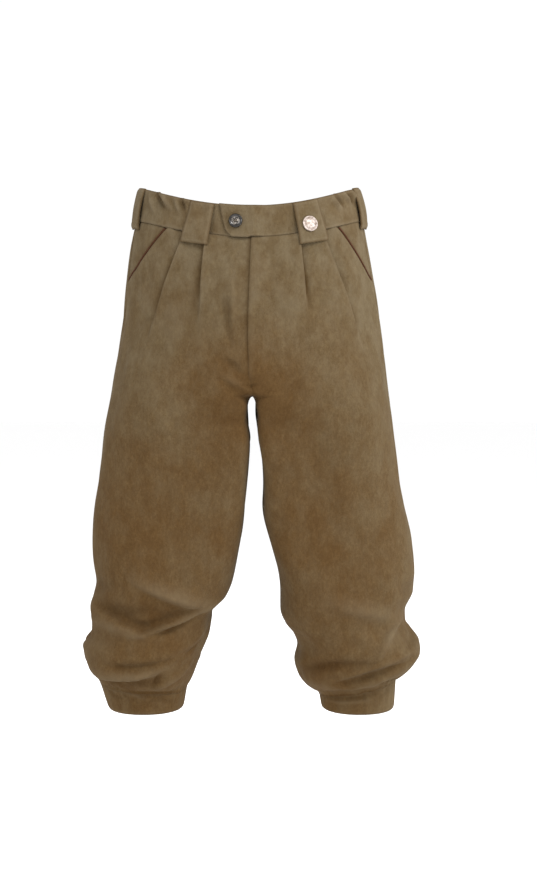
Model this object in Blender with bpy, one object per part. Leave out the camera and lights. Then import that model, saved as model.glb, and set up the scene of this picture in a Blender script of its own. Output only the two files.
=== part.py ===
"""Knee breeches: pleated fronts, backs, waistband with a buttoned tab, five wide belt loops,
slanted pockets with piping and a band at each knee. The cloth is worn-shaped and hollow.

Metres, +Z up, +X to the wearer's left, the front faces -Y. The origin is the middle of the waist,
halfway up the waistband, where the wearer's waist holds the breeches.

Every cloth piece is cut from one surface. A point on it has a side (RIGHT or LEFT), a height, and
a turn: 0 at the centre front or the inseam, 0.25 at the front of the leg, 0.5 at the outer side,
0.75 at the back of the leg, and 1 at the centre back or the inseam again.
"""

import bpy
import numpy as np

# Driving dimensions
CLOTH = 0.0018  # one layer of moleskin
BAND_CLOTH = 0.0030  # two layers and the stiffening between them
SEAM_GAP = 0.0003
WAIST_TOP = 0.0370  # at the sides
BAND_HEIGHT = 0.0475
FRONT_DROP = 0.0375  # the waist is this much lower at the centre front than at the sides
BACK_DROP = 0.0130
DROP_ENDS = -0.220  # below this height the sections are level
CENTRE = 0.0035  # the centre seams hang this far to the wearer's left of the middle of the waist
FORK_TOP = -0.150  # where the crotch seam starts to curve under
CROTCH = -0.2715
FORK_BEND_FRONT, FORK_BEND_BACK = 5.0, 2.0  # 2 is a quarter ellipse, more is squarer
FORK_ENDS = -0.330  # from here down the legs are round on their inner sides too
FULL_ENDS = -0.640  # from here up the inner sides are fuller, for a flat fork
CUFF_SEAM = -0.7040
HEM = -0.7370
BUTTON_RADIUS = 0.0097
BADGE_RADIUS = 0.0110

RIGHT, LEFT = -1, 1
SIDE_WORD = {RIGHT: "right", LEFT: "left"}
WAIST_SEAM = WAIST_TOP - BAND_HEIGHT
SEAM_TURN = 0.00026  # half a seam gap, as a share of a turn

# Half sections of the body: how far it reaches from the centre seam to each side, forwards and
# backwards.
TORSO_COLUMNS = ("height", "right", "left", "front", "back")
TORSO = (
    (0.0370, 0.1650, 0.1560, 0.117, 0.116),
    (-0.0080, 0.1720, 0.1645, 0.121, 0.121),
    (-0.0500, 0.1800, 0.1715, 0.127, 0.131),
    (-0.1000, 0.1865, 0.1805, 0.131, 0.139),
    (-0.1500, 0.1910, 0.1885, 0.133, 0.143),
)

# Sections of the legs: distances from the centre seam, and how far they reach front and back.
# Columns: height, inner, outer, front, back.
LEG = {
    RIGHT: (
        (-0.1500, 0.0000, 0.1910, 0.133, 0.143),
        (-0.2000, 0.0000, 0.1995, 0.132, 0.141),
        (CROTCH, 0.0000, 0.2117, 0.127, 0.134),
        (-0.2750, 0.0080, 0.2123, 0.1266, 0.1334),
        (-0.2900, 0.0085, 0.2148, 0.125, 0.130),
        (-0.3120, 0.0072, 0.2186, 0.122, 0.125),
        (-0.3400, 0.0046, 0.2233, 0.117, 0.119),
        (-0.3960, 0.0083, 0.2305, 0.111, 0.109),
        (-0.4560, 0.0125, 0.2385, 0.107, 0.102),
        (-0.5020, 0.0205, 0.2375, 0.106, 0.098),
        (-0.5470, 0.0295, 0.2345, 0.107, 0.096),
        (-0.5650, 0.0370, 0.2375, 0.107, 0.096),
        (-0.5850, 0.0540, 0.2430, 0.104, 0.097),
        (-0.6050, 0.0610, 0.2415, 0.102, 0.100),
        (-0.6230, 0.0645, 0.2425, 0.102, 0.103),
        (-0.6420, 0.0725, 0.2540, 0.103, 0.105),
        (-0.6600, 0.0810, 0.2525, 0.101, 0.104),
        (-0.6750, 0.0855, 0.2470, 0.093, 0.100),
        (-0.6900, 0.0920, 0.2410, 0.080, 0.092),
        (CUFF_SEAM, 0.1005, 0.2290, 0.057, 0.077),
    ),
    LEFT: (
        (-0.1500, 0.0000, 0.1885, 0.133, 0.143),
        (-0.2000, 0.0000, 0.1955, 0.132, 0.141),
        (CROTCH, 0.0000, 0.2052, 0.127, 0.134),
        (-0.2750, 0.0056, 0.2057, 0.1266, 0.1334),
        (-0.2900, 0.0066, 0.2076, 0.125, 0.130),
        (-0.3350, 0.0126, 0.2130, 0.118, 0.120),
        (-0.3960, 0.0180, 0.2195, 0.111, 0.109),
        (-0.4260, 0.0170, 0.2260, 0.109, 0.105),
        (-0.4860, 0.0275, 0.2395, 0.106, 0.099),
        (-0.5300, 0.0385, 0.2435, 0.107, 0.096),
        (-0.5600, 0.0415, 0.2400, 0.107, 0.096),
        (-0.5900, 0.0418, 0.2275, 0.104, 0.097),
        (-0.6050, 0.0465, 0.2285, 0.102, 0.100),
        (-0.6200, 0.0590, 0.2380, 0.102, 0.103),
        (-0.6400, 0.0675, 0.2500, 0.103, 0.105),
        (-0.6600, 0.0632, 0.2525, 0.101, 0.104),
        (-0.6750, 0.0680, 0.2460, 0.093, 0.100),
        (-0.6900, 0.0800, 0.2340, 0.080, 0.092),
        (CUFF_SEAM, 0.1020, 0.2160, 0.057, 0.077),
    ),
}
CUFF = {
    RIGHT: ((CUFF_SEAM, 0.1005, 0.2290, 0.057, 0.077), (HEM, 0.1045, 0.2170, 0.052, 0.072)),
    LEFT: ((CUFF_SEAM, 0.1020, 0.2160, 0.057, 0.077), (HEM, 0.1045, 0.2135, 0.052, 0.072)),
}
# Slope of the sections towards the knee: they are a little lower in front.
CUFF_TILT = ((-0.6000, 0.0), (CUFF_SEAM, 0.02), (HEM, 0.05))
CUFF_CANT = {RIGHT: 0.005, LEFT: 0.012}  # the knee seams are higher on the outer side by this

# Pleats: the cloth on the inner side of the line lies over the cloth on its outer side.
# Columns: distance from the centre plane at the top, distance at the end, height of the end, step.
PLEATS = {
    RIGHT: ((0.063, 0.075, -0.175, 0.0036), (0.092, 0.154, -0.205, 0.0040)),
    LEFT: ((0.067, 0.084, -0.170, 0.0034), (0.104, 0.150, -0.180, 0.0036)),
}
PLEAT_OVER, PLEAT_UNDER = 0.018, 0.012  # how far each side of a pleat takes to lie flat again
PLEAT_END_TURNS = (0.17, 0.32)  # where the columns that follow the pleats run on down the leg

# Folds: a ridge (rise above 0) or a trough along a curve from one place to another.
# Columns: turn and height at the start, at the bend and at the end, width, rise.
FOLDS = {
    RIGHT: (
        (0.405, -0.5865, 0.245, -0.6275, 0.094, -0.5745, 0.011, 0.0050),
        (0.390, -0.5640, 0.311, -0.5755, 0.258, -0.5990, 0.011, -0.0065),
        (0.300, -0.5620, 0.210, -0.5800, 0.160, -0.5780, 0.010, -0.0040),
        (0.300, -0.5280, 0.235, -0.5590, 0.125, -0.5755, 0.012, 0.0045),
        (0.370, -0.6820, 0.241, -0.6765, 0.080, -0.6390, 0.010, 0.0045),
        (0.310, -0.6550, 0.205, -0.6670, 0.105, -0.6370, 0.010, -0.0040),
        (0.360, -0.6870, 0.283, -0.6890, 0.200, -0.6810, 0.008, -0.0055),
        (0.980, -0.5480, 0.800, -0.5660, 0.600, -0.5580, 0.015, -0.0055),
        (0.950, -0.5850, 0.760, -0.5960, 0.540, -0.5820, 0.013, 0.0055),
        (0.900, -0.6280, 0.740, -0.6360, 0.580, -0.6200, 0.011, -0.0055),
        (0.960, -0.6640, 0.800, -0.6720, 0.620, -0.6660, 0.010, 0.0035),
    ),
    LEFT: (
        (0.421, -0.5855, 0.390, -0.6040, 0.283, -0.6390, 0.008, 0.0040),
        (0.090, -0.6610, 0.150, -0.6350, 0.270, -0.6465, 0.011, -0.0065),
        (0.210, -0.6750, 0.263, -0.6610, 0.385, -0.6470, 0.009, -0.0065),
        (0.222, -0.6885, 0.292, -0.6850, 0.355, -0.6820, 0.009, 0.0030),
        (0.200, -0.5600, 0.280, -0.5800, 0.390, -0.5920, 0.013, 0.0025),
        (0.970, -0.5600, 0.780, -0.5520, 0.580, -0.5700, 0.015, -0.0055),
        (0.940, -0.5920, 0.750, -0.5860, 0.550, -0.6040, 0.013, 0.0055),
        (0.920, -0.6340, 0.730, -0.6220, 0.570, -0.6380, 0.011, -0.0055),
        (0.960, -0.6680, 0.780, -0.6620, 0.600, -0.6720, 0.010, 0.0035),
    ),
}

# The side seam leans forward at the hip, under the pocket mouth, and back below it.
SIDE_SEAM = (
    (WAIST_SEAM, 0.440),
    (-0.105, 0.425),
    (-0.150, 0.458),
    (-0.200, 0.490),
    (-0.300, 0.500),
    (HEM, 0.500),
)
# Pocket mouths run from the waistband seam to the side seam.
MOUTH_TOP = {RIGHT: 0.119, LEFT: 0.121}  # across
MOUTH_END = -0.103
MOUTH_LIFT = 0.0014  # the front lies over the hip piece by this much at the mouth
MOUTH_SINK = 0.0008
HIP_SINK = 0.0024  # the facing lies deeper still where it runs under the front
MOUTH_FADE = 0.045  # as a share of a turn
HIP_UNDERLAP = 0.016  # how far the hip piece runs under the front, as a share of a turn
PIPING_RADIUS = 0.0013

# Fly: the left front lies over the right one down to its end.
FLY_END = -0.232
FLY_LIFT = 0.0020
FLY_FADE = 0.060

TAB_LENGTH = 0.042
TAB_LIFT = 0.0042
TAB_CORNER = 0.012
TAB_SLANT = 0.006
TAB_SAG = 0.002
BAND_PROUD = 0.0008

# Belt loops: where each is across the band, as a turn, and how it stands off.
LOOP_TOP, LOOP_FOOT = 0.036, 0.041  # widths
LOOP_CLOTH = 0.0025
LOOPS = {
    "belt_loop_front_right": (RIGHT, 0.135, 0.066, 0.110, 0.0010, 0.0, 0.0),
    "belt_loop_front_left": (LEFT, 0.161, 0.066, 0.095, 0.0010, 0.0030, 0.0),
    "belt_loop_side_right": (RIGHT, 0.428, 0.061, 0.040, 0.0030, 0.0, 0.0016),
    "belt_loop_side_left": (LEFT, 0.434, 0.061, 0.040, 0.0030, 0.0, 0.0022),
    "belt_loop_back": (LEFT, 1.000, 0.064, 0.000, 0.0026, 0.0, 0.0010),
}

COLOURS = {
    "cloth": (0.169, 0.109, 0.052, 1.0),
    "piping": (0.060, 0.026, 0.010, 1.0),
    "horn": (0.012, 0.008, 0.006, 1.0),
    "metal": (0.720, 0.650, 0.610, 1.0),
}


def clear_scene():
    for old in list(bpy.data.objects):
        bpy.data.objects.remove(old)


def material(name, roughness, metallic=0.0):
    made = bpy.data.materials.new(name)
    made.use_nodes = True
    shader = made.node_tree.nodes["Principled BSDF"]
    shader.inputs["Base Color"].default_value = COLOURS[name]
    shader.inputs["Roughness"].default_value = roughness
    shader.inputs["Metallic"].default_value = metallic
    return made


def along(rows, column, at):
    """One column of a table at the heights `at`: a cubic through the rows that never overshoots."""
    table = np.array(rows, float)[::-1]
    x, y = table[:, 0], table[:, column]
    step, rise = np.diff(x), np.diff(y)
    slope = rise / step
    tangent = np.zeros(len(x))
    tangent[0], tangent[-1] = slope[0], slope[-1]
    for i in range(1, len(x) - 1):
        before, after = slope[i - 1], slope[i]
        if before * after > 0:
            tangent[i] = 2 * before * after / (before + after)
    at = np.clip(np.asarray(at, float), x[0], x[-1])
    i = np.clip(np.searchsorted(x, at) - 1, 0, len(step) - 1)
    s = (at - x[i]) / step[i]
    return (
        y[i] * (1 + 2 * s) * (1 - s) ** 2
        + y[i + 1] * (3 - 2 * s) * s**2
        + tangent[i] * step[i] * s * (1 - s) ** 2
        - tangent[i + 1] * step[i] * (1 - s) * s**2
    )


def ramp(value, start, end):
    """0 at start, 1 at end, smooth in between."""
    s = np.clip((value - start) / (end - start), 0, 1)
    return s * s * (3 - 2 * s)


def half_width(side, height):
    """How far the body's oval reaches from the centre seam."""
    on_body = along(TORSO, TORSO_COLUMNS.index(SIDE_WORD[side]), height)
    return np.where(height < FORK_TOP, along(LEG[side], 2, height), on_body)


def turn_across(side, across, height):
    """The turn at which the body's section is this far from the centre plane, in front."""
    return np.arcsin(across / half_width(side, height)) / np.pi


def leg_angle(side, turn, height, table):
    """The angle about the middle of the leg, from its inner side round by the front. In the fork
    the cloth starts at the crotch seam, which sweeps from the centre front to the inseam."""
    inner, outer, front, back = (along(table[side], i, height) for i in (1, 2, 3, 4))
    middle = (inner + outer) / 2
    oval = np.pi * turn
    depth = np.where(turn < 0.5, front, back)
    on_body = np.arctan2(depth * np.cos(oval), middle - outer * np.sin(oval)) % (2 * np.pi)
    under = np.clip((FORK_TOP - height) / (FORK_TOP - CROTCH), 0, 1)
    corner = np.arctan2(depth, middle)
    bend = np.where(turn < 0.5, FORK_BEND_FRONT, FORK_BEND_BACK)
    seam = np.arctan2(depth * (1 - under**bend) ** (1 / bend), middle)
    by_seam = 1 - ramp(np.minimum(turn % 1, 1 - turn % 1), 0, 0.22)
    leg_share = by_seam * (1 - seam / corner) + (1 - by_seam) * ramp(height, FORK_TOP, -0.36)
    return on_body + leg_share * (2 * np.pi * turn - on_body)


def leg_section(side, angle, height, table):
    """Across and depth on the leg's section. In the fork it is the body's oval with a flat inner
    side, which rounds off on the way down."""
    inner, outer, front, back = (along(table[side], i, height) for i in (1, 2, 3, 4))
    middle, half = (inner + outer) / 2, (outer - inner) / 2
    cosine, sine = np.cos(angle), np.sin(angle)
    depth = np.where(sine > 0, front, back)
    inner_side = np.where(cosine > 0, ramp(height, FULL_ENDS, CROTCH), 0)
    square = 2.25 + 5.0 * inner_side  # a little fuller than an ellipse, squarer by the crotch
    round_leg = (abs(cosine / half) ** square + abs(sine / depth) ** square) ** (-1 / square)
    a = (cosine / outer) ** 2 + (sine / depth) ** 2
    b = -middle * cosine / outer**2
    c = (middle / outer) ** 2 - 1
    oval = (-b + np.sqrt(b * b - a * c)) / a
    flat = np.where(cosine > 0.01, half / np.maximum(cosine, 0.01), 9.0)
    rounding = ramp(height, FORK_TOP, FORK_ENDS)
    reach = (1 - rounding) * np.minimum(oval, flat) + rounding * round_leg
    return middle - reach * cosine, -reach * sine


def body_section(side, turn, height):
    front, back = along(TORSO, 3, height), along(TORSO, 4, height)
    across = half_width(side, height) * np.sin(np.pi * turn)
    return across, -np.where(turn < 0.5, front, back) * np.cos(np.pi * turn)


def surface(side, turn, angle, height, table, on_leg):
    """Points of the bare surface at a turn whose angle about the leg is already known."""
    body_x, body_y = body_section(side, turn, height)
    leg_x, leg_y = leg_section(side, angle, height, table)
    x, y = np.where(on_leg, leg_x, body_x), np.where(on_leg, leg_y, body_y)
    joined = (height > CROTCH) & on_leg
    for end, near in ((0.0, 1 - ramp(turn, 0, 0.12)), (1.0, ramp(turn, 0.88, 1))):
        seam = leg_angle(side, end + 0 * turn, height, table)
        seam_x, _ = leg_section(side, seam, height, table)
        x = x - np.where(joined, seam_x * near, 0)
    level = np.cos(np.pi * turn) ** 2 * ramp(height, DROP_ENDS, WAIST_TOP)
    drop = np.where(turn < 0.5, FRONT_DROP, BACK_DROP) * level
    near_cuff = ramp(height, CUFF_TILT[0][0], CUFF_SEAM) * (1 - ramp(height, CUFF_SEAM, HEM))
    tilt = along(CUFF_TILT, 1, height) * y - CUFF_CANT[side] * near_cuff * np.cos(2 * np.pi * turn)
    return np.stack([CENTRE + side * (x + SEAM_GAP / 2), y, height - drop + tilt], axis=-1)


def form(side, turn, height, table=None):
    """Points of the bare surface, with no folds. Above the fork the two halves share the body's
    oval; below the crotch each has its leg's section."""
    turn, height = np.broadcast_arrays(np.asarray(turn, float), np.asarray(height, float))
    table = table or LEG
    angle = leg_angle(side, turn, height, table)
    return surface(side, turn, angle, height, table, height < FORK_TOP)


def outward(side, turn, height, table=None):
    """Unit normals of the bare surface."""
    turn, height = np.broadcast_arrays(np.asarray(turn, float), np.asarray(height, float))
    table, on_leg, small = table or LEG, height < FORK_TOP, 0.001
    before, after = turn - small, turn + small
    fork = (height > CROTCH) & on_leg
    before = np.where(fork, np.clip(before, 0, 1), before)
    after = np.where(fork, np.clip(after, 0, 1), after)
    ends = [
        surface(side, t, leg_angle(side, t, height, table), height, table, on_leg)
        for t in (before, after)
    ]
    angle = leg_angle(side, turn, height, table)
    rises = [surface(side, turn, angle, height + h, table, on_leg) for h in (-small, small)]
    normal = np.cross(ends[1] - ends[0], rises[1] - rises[0]) * side
    return normal / np.linalg.norm(normal, axis=-1, keepdims=True)


def per_turn(side, turn, height):
    """How many metres a whole turn is, at this place."""
    small = 0.002
    ends = form(side, turn + small, height), form(side, turn - small, height)
    return np.linalg.norm(ends[0] - ends[1], axis=-1) / (2 * small)


def pleat_turn(side, pleat, height):
    """The turn of a pleat's line, which runs on down the leg to the pleat's end turn."""
    across_top, across_end, end, _ = PLEATS[side][pleat]
    top_turn = turn_across(side, across_top, WAIST_SEAM)
    end_turn = turn_across(side, across_end, end)
    down = np.clip((WAIST_SEAM - height) / (WAIST_SEAM - end), 0, 1)
    line = top_turn + (end_turn - top_turn) * down
    return line + (PLEAT_END_TURNS[pleat] - end_turn) * ramp(height, end, CUFF_SEAM)


def pleat_relief(side, turn, height):
    total = np.zeros(np.shape(turn))
    for pleat, (_, _, end, step) in enumerate(PLEATS[side]):
        off = (turn - pleat_turn(side, pleat, height)) * np.pi * half_width(side, height)
        left = 1 - ramp(height, WAIST_SEAM - 0.03, end)
        spread = 1 + 1.2 * (1 - left)
        over = 0.7 * np.exp(-np.abs(off) / (PLEAT_OVER * spread)) * (off <= 0)
        under = -0.6 * np.exp(-np.abs(off) / (PLEAT_UNDER * spread)) * (off > 0)
        total = total + step * left * (over + under)
    return total


def fold_relief(side, turn, height):
    total = np.zeros(np.shape(turn))
    s = np.linspace(0, 1, 17)
    for t0, h0, t1, h1, t2, h2, width, rise in FOLDS[side]:
        line_turn = t0 * (1 - s) ** 2 + 2 * t1 * s * (1 - s) + t2 * s**2
        line_height = h0 * (1 - s) ** 2 + 2 * h1 * s * (1 - s) + h2 * s**2
        round_leg = 0.60  # metres to a full turn
        off_turn = (np.asarray(turn)[..., None] - line_turn) * round_leg
        off = np.hypot(off_turn, np.asarray(height)[..., None] - line_height)
        near = off.argmin(axis=-1)
        strength = np.sin(np.pi * (0.12 + 0.76 * s[near])) ** 1.5
        total = total + rise * strength * np.exp(-((off.min(axis=-1) / width) ** 2))
    return total * ramp(height, CUFF_SEAM, CUFF_SEAM + 0.008)


def mouth_turn(side, height):
    """The turn of the pocket mouth's line, from the waistband seam to the side seam."""
    end_turn = along(SIDE_SEAM, 1, MOUTH_END)
    end = half_width(side, MOUTH_END) * np.sin(np.pi * end_turn)
    down = np.clip((WAIST_SEAM - height) / (WAIST_SEAM - MOUTH_END), 0, 1)
    across = MOUTH_TOP[side] + (end - MOUTH_TOP[side]) * down**0.93
    return turn_across(side, across, np.maximum(height, MOUTH_END))


def fly_lift(side, turn, height):
    """How far forward the left front stands where the fly's layers lie under it."""
    near = (1 - ramp(turn, 0, FLY_FADE)) * ramp(height, FLY_END - 0.010, FLY_END + 0.010)
    return FLY_LIFT * near * (side == LEFT)


def front_relief(side, turn, height):
    relief = pleat_relief(side, turn, height) + fold_relief(side, turn, height)
    near = ramp(turn, mouth_turn(side, height) - MOUTH_FADE, mouth_turn(side, height))
    return relief + MOUTH_LIFT * near * ramp(height, MOUTH_END - 0.030, MOUTH_END)


def hip_relief(side, turn, height):
    mouth = mouth_turn(side, height)
    near = 1 - ramp(turn, mouth, mouth + MOUTH_FADE)
    under = 1 - ramp(turn, mouth - HIP_UNDERLAP, mouth + 0.012)
    return -MOUTH_SINK * near - HIP_SINK * under


def add_object(name, points, faces, colour, smooth_angle=40):
    mesh = bpy.data.meshes.new(name)
    mesh.from_pydata([tuple(map(float, p)) for p in points], [], faces)
    mesh.shade_smooth()
    mesh.set_sharp_from_angle(angle=np.radians(smooth_angle))
    mesh.materials.append(colour)
    made = bpy.data.objects.new(name, mesh)
    bpy.context.scene.collection.objects.link(made)
    return made


def wall(name, outer, inner, colour, closed=False, flip=False):
    """A closed wall between two grids of points, each rows x columns x 3. A closed wall's columns
    meet again, as on a ring."""
    rows, columns = outer.shape[:2]
    size = rows * columns
    faces = []
    across = columns if closed else columns - 1

    def at(row, column, layer):
        return layer * size + row * columns + column % columns

    for r in range(rows - 1):
        for c in range(across):
            faces.append([at(r, c, 0), at(r + 1, c, 0), at(r + 1, c + 1, 0), at(r, c + 1, 0)])
            faces.append([at(r, c, 1), at(r, c + 1, 1), at(r + 1, c + 1, 1), at(r + 1, c, 1)])
    for c in range(across):
        faces.append([at(0, c, 0), at(0, c + 1, 0), at(0, c + 1, 1), at(0, c, 1)])
        low = rows - 1
        faces.append([at(low, c, 1), at(low, c + 1, 1), at(low, c + 1, 0), at(low, c, 0)])
    if not closed:
        last = columns - 1
        for r in range(rows - 1):
            faces.append([at(r, 0, 1), at(r + 1, 0, 1), at(r + 1, 0, 0), at(r, 0, 0)])
            faces.append(
                [at(r, last, 0), at(r + 1, last, 0), at(r + 1, last, 1), at(r, last, 1)]
            )
    if flip:
        faces = [face[::-1] for face in faces]
    points = np.concatenate([outer.reshape(-1, 3), inner.reshape(-1, 3)])
    return add_object(name, points, faces, colour)


def panel(name, side, turns, heights, relief, colour, thickness=CLOTH):
    """A cloth panel from a grid of turns and heights, both rows x columns."""
    bare = form(side, turns, heights)
    normal = outward(side, turns, heights)
    lift = relief(side, turns, heights)[..., None]
    fly = fly_lift(side, turns, heights)[..., None] * np.array((0, -1, 0))
    outer = bare + normal * lift + fly
    inner = bare + normal * (lift - thickness) + 0.4 * fly
    return wall(name, outer, inner, colour, flip=side == RIGHT)


def mouth_heights():
    """The rows of the panels along a pocket mouth."""
    return np.linspace(WAIST_SEAM - SEAM_GAP, MOUTH_END, 6)


def panel_heights():
    """The rows of a panel from its top to the cuff seam, closer together where it folds."""
    under = np.array((0, 0.30, 0.54, 0.74, 0.87, 0.95, 0.987, 1))
    fork = FORK_TOP - (FORK_TOP - CROTCH) * under
    thigh = np.array((-0.2745, -0.2860, -0.3300, -0.3960, -0.4580, -0.5120))
    knee = np.linspace(-0.5450, CUFF_SEAM + SEAM_GAP, 14)
    return np.concatenate([mouth_heights(), (-0.120,), fork, thigh, knee])


def front_turns(side, heights):
    """The columns of a front: they follow the two pleats, a pair of columns at each, and end at
    the pocket mouth or, below it, at the side seam."""
    rows = []
    for height in heights:
        beside = 0.0022 + 0.022 * float(ramp(height, -0.180, -0.330))
        inner, outer = (float(pleat_turn(side, i, height)) for i in (0, 1))
        edge = along(SIDE_SEAM, 1, height)
        if height > MOUTH_END:
            edge = mouth_turn(side, height)
        edge = float(edge) - SEAM_TURN
        outer = min(outer, edge - 0.035)
        rows.append(
            np.concatenate(
                [
                    np.linspace(SEAM_TURN, inner - beside, 5),
                    np.linspace(inner + beside, outer - beside, 3),
                    np.linspace(outer + beside, edge, 5),
                ]
            )
        )
    return np.array(rows)


def front(side, colour):
    heights = panel_heights()
    turns = front_turns(side, heights)
    grid = np.repeat(heights[:, None], turns.shape[1], axis=1)
    name = f"front_{SIDE_WORD[side]}"
    return panel(name, side, turns, grid, front_relief, colour)


def back(side, colour):
    heights = panel_heights()
    seam = along(SIDE_SEAM, 1, heights)
    share = np.linspace(0, 1, 10)
    start, end = seam[:, None] + SEAM_TURN, 1 - SEAM_TURN
    turns = start + (end - start) * share
    grid = np.repeat(heights[:, None], turns.shape[1], axis=1)
    return panel(f"back_{SIDE_WORD[side]}", side, turns, grid, fold_relief, colour)


def hip_piece(side, colour):
    """The facing behind a pocket mouth, which fills the corner up to the side seam."""
    heights = np.append(mouth_heights()[:-1], MOUTH_END + 0.0030)
    start = mouth_turn(side, heights) - HIP_UNDERLAP
    end = along(SIDE_SEAM, 1, heights) - SEAM_TURN
    turns = start[:, None] + (end - start)[:, None] * np.linspace(0, 1, 5)
    grid = np.repeat(heights[:, None], turns.shape[1], axis=1)
    name = f"pocket_facing_{SIDE_WORD[side]}"
    return panel(name, side, turns, grid, hip_relief, colour, 0.0014)


def piping(side, colour):
    """The cord of piping along a pocket mouth, on the facing and against the front's edge."""
    heights = mouth_heights()[:-1]
    heights[0] -= 0.0020
    mouth = mouth_turn(side, heights)
    slant = 1.25  # the mouth runs down and outwards
    turns = mouth + slant * (SEAM_GAP + PIPING_RADIUS) / per_turn(side, mouth, heights)
    lift = PIPING_RADIUS + 2 * SEAM_GAP + hip_relief(side, turns, heights)
    line = form(side, turns, heights) + outward(side, turns, heights) * lift[:, None]
    curve = bpy.data.curves.new(f"pocket_piping_{SIDE_WORD[side]}", "CURVE")
    curve.dimensions = "3D"
    curve.bevel_depth = PIPING_RADIUS
    curve.bevel_resolution = 2
    curve.use_fill_caps = True
    spline = curve.splines.new("POLY")
    spline.points.add(len(line) - 1)
    for point, place in zip(spline.points, line):
        point.co = (*map(float, place), 1)
    curve.materials.append(colour)
    made = bpy.data.objects.new(curve.name, curve)
    bpy.context.scene.collection.objects.link(made)
    return made


def band(name, side, turns, lifts, bottoms, colour):
    """A length of waistband: turns across it, a lift and a bottom height for each."""
    share = np.linspace(0, 1, 3)[:, None]
    heights = WAIST_TOP + (bottoms - WAIST_TOP) * share
    grid = turns + 0 * share
    bare = form(side, grid, heights)
    normal = outward(side, grid, heights)
    lift = (BAND_PROUD + lifts)[None, :, None]
    outer = bare + normal * lift
    inner = bare + normal * (lift - BAND_CLOTH)
    return wall(name, outer, inner, colour, flip=side == RIGHT)


def waistband_right(colour):
    turns = np.linspace(0.0012, 1 - SEAM_TURN, 26)
    flat = np.zeros(len(turns))
    return band("waistband_right", RIGHT, turns, flat, flat + WAIST_SEAM, colour)


def waistband_left(colour):
    """The left half runs past the centre front as the buttoned tab, over the right half."""
    tab_end = -float(turn_across(RIGHT, TAB_LENGTH, 0.0))
    corner = -float(turn_across(RIGHT, TAB_LENGTH - TAB_CORNER, 0.0))
    tab = np.array((tab_end, 0.6 * tab_end + 0.4 * corner, corner, 0.5 * corner, 0.0))
    rest = np.concatenate([np.array((0.012, 0.025, 0.045)), np.linspace(0.075, 1 - SEAM_TURN, 22)])
    turns = np.concatenate([tab, rest])
    lifts = TAB_LIFT * (1 - ramp(turns, 0.004, 0.050))
    bottoms = WAIST_SEAM - TAB_SAG * (1 - ramp(turns, -0.012, 0.0))
    bottoms[0] += 0.0150
    bottoms[1] += 0.0075
    slant = np.zeros((3, len(turns)))  # the end of the tab is longer at its top
    slant[:, 0] = TAB_SLANT * np.array((1.0, 0.1, -0.8))
    slant[:, 1] = 0.6 * slant[:, 0]
    grid = turns + slant * tab_end / TAB_LENGTH
    return band("waistband_left", LEFT, grid, lifts, bottoms, colour)


def loop_face(name, across, down, out):
    """Points of a belt loop's inner face, moved out: across from its middle line, down its length
    as a share of it."""
    side, turn, length, lean, belly, _, above = LOOPS[name]
    heights = WAIST_TOP - 0.0005 + above - length * down + 0 * across
    middle = per_turn(side, turn, heights)
    turns = turn + (across + lean * length * down) / middle
    over_pleats = 0.0034 * ramp(down, 0.10, 0.72) * ("front" in name)
    bow = belly * np.sin(np.pi * down**1.3) ** 0.8
    lift = BAND_PROUD + SEAM_GAP + 0.0008 + bow + over_pleats + out
    return form(side, turns, heights) + outward(side, turns, heights) * lift[..., None]


def belt_loop(name, colour):
    """A wide loop sewn at the top of the waistband and below it, with room for a belt."""
    down = np.linspace(0, 1, 9)[:, None]
    width = LOOP_TOP + (LOOP_FOOT - LOOP_TOP) * down + LOOPS[name][5]
    across = np.linspace(-0.5, 0.5, 4)[None, :] * width
    inner = loop_face(name, across, down + 0 * across, 0.0)
    outer = loop_face(name, across, down + 0 * across, LOOP_CLOTH)
    return wall(name, outer, inner, colour, flip=LOOPS[name][0] == RIGHT)


def cuff(side, colour):
    columns = 24
    turns = np.linspace(0, 1, columns, endpoint=False)[None, :]
    heights = np.linspace(CUFF_SEAM, HEM, 3)[:, None]
    turns, heights = np.broadcast_arrays(turns, heights)
    bare = form(side, turns, heights, CUFF)
    normal = outward(side, turns, heights, CUFF)
    outer = bare + normal * BAND_PROUD
    inner = bare + normal * (BAND_PROUD - BAND_CLOTH)
    name = f"knee_band_{SIDE_WORD[side]}"
    return wall(name, outer, inner, colour, closed=True, flip=side == RIGHT)


def turned(name, profile, place, facing, colour, segments=32):
    """A round piece turned from (radius, height) points, standing on `place` and facing outwards."""
    profile = np.array(profile, float)
    angles = np.linspace(0, 2 * np.pi, segments, endpoint=False)
    facing = facing / np.linalg.norm(facing)
    right = np.cross((0, 0, 1), facing)
    right /= np.linalg.norm(right)
    up = np.cross(facing, right)
    points = [place + facing * profile[0, 1]]
    for radius, height in profile[1:-1]:
        ring = np.cos(angles)[:, None] * right + np.sin(angles)[:, None] * up
        points.extend(place + facing * height + radius * ring)
    points.append(place + facing * profile[-1, 1])
    faces = []
    rings = len(profile) - 2
    last = len(points) - 1
    for k in range(segments):
        n = (k + 1) % segments
        faces.append([0, 1 + k, 1 + n])
        for r in range(rings - 1):
            a, b = 1 + r * segments, 1 + (r + 1) * segments
            faces.append([a + k, b + k, b + n, a + n])
        low = 1 + (rings - 1) * segments
        faces.append([last, low + n, low + k])
    return add_object(name, points, faces, colour)


def seat(face):
    """Where a round piece rests on a patch of cloth: the 3 x 3 points of the patch give the way it
    faces, and it stands a seam gap clear of the highest."""
    facing = np.cross(face[1, 2] - face[1, 0], face[2, 1] - face[0, 1])
    facing /= np.linalg.norm(facing)
    facing *= -np.sign(facing[1])
    clear = ((face - face[1, 1]) @ facing).max() + SEAM_GAP
    return face[1, 1] + facing * clear, facing


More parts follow.
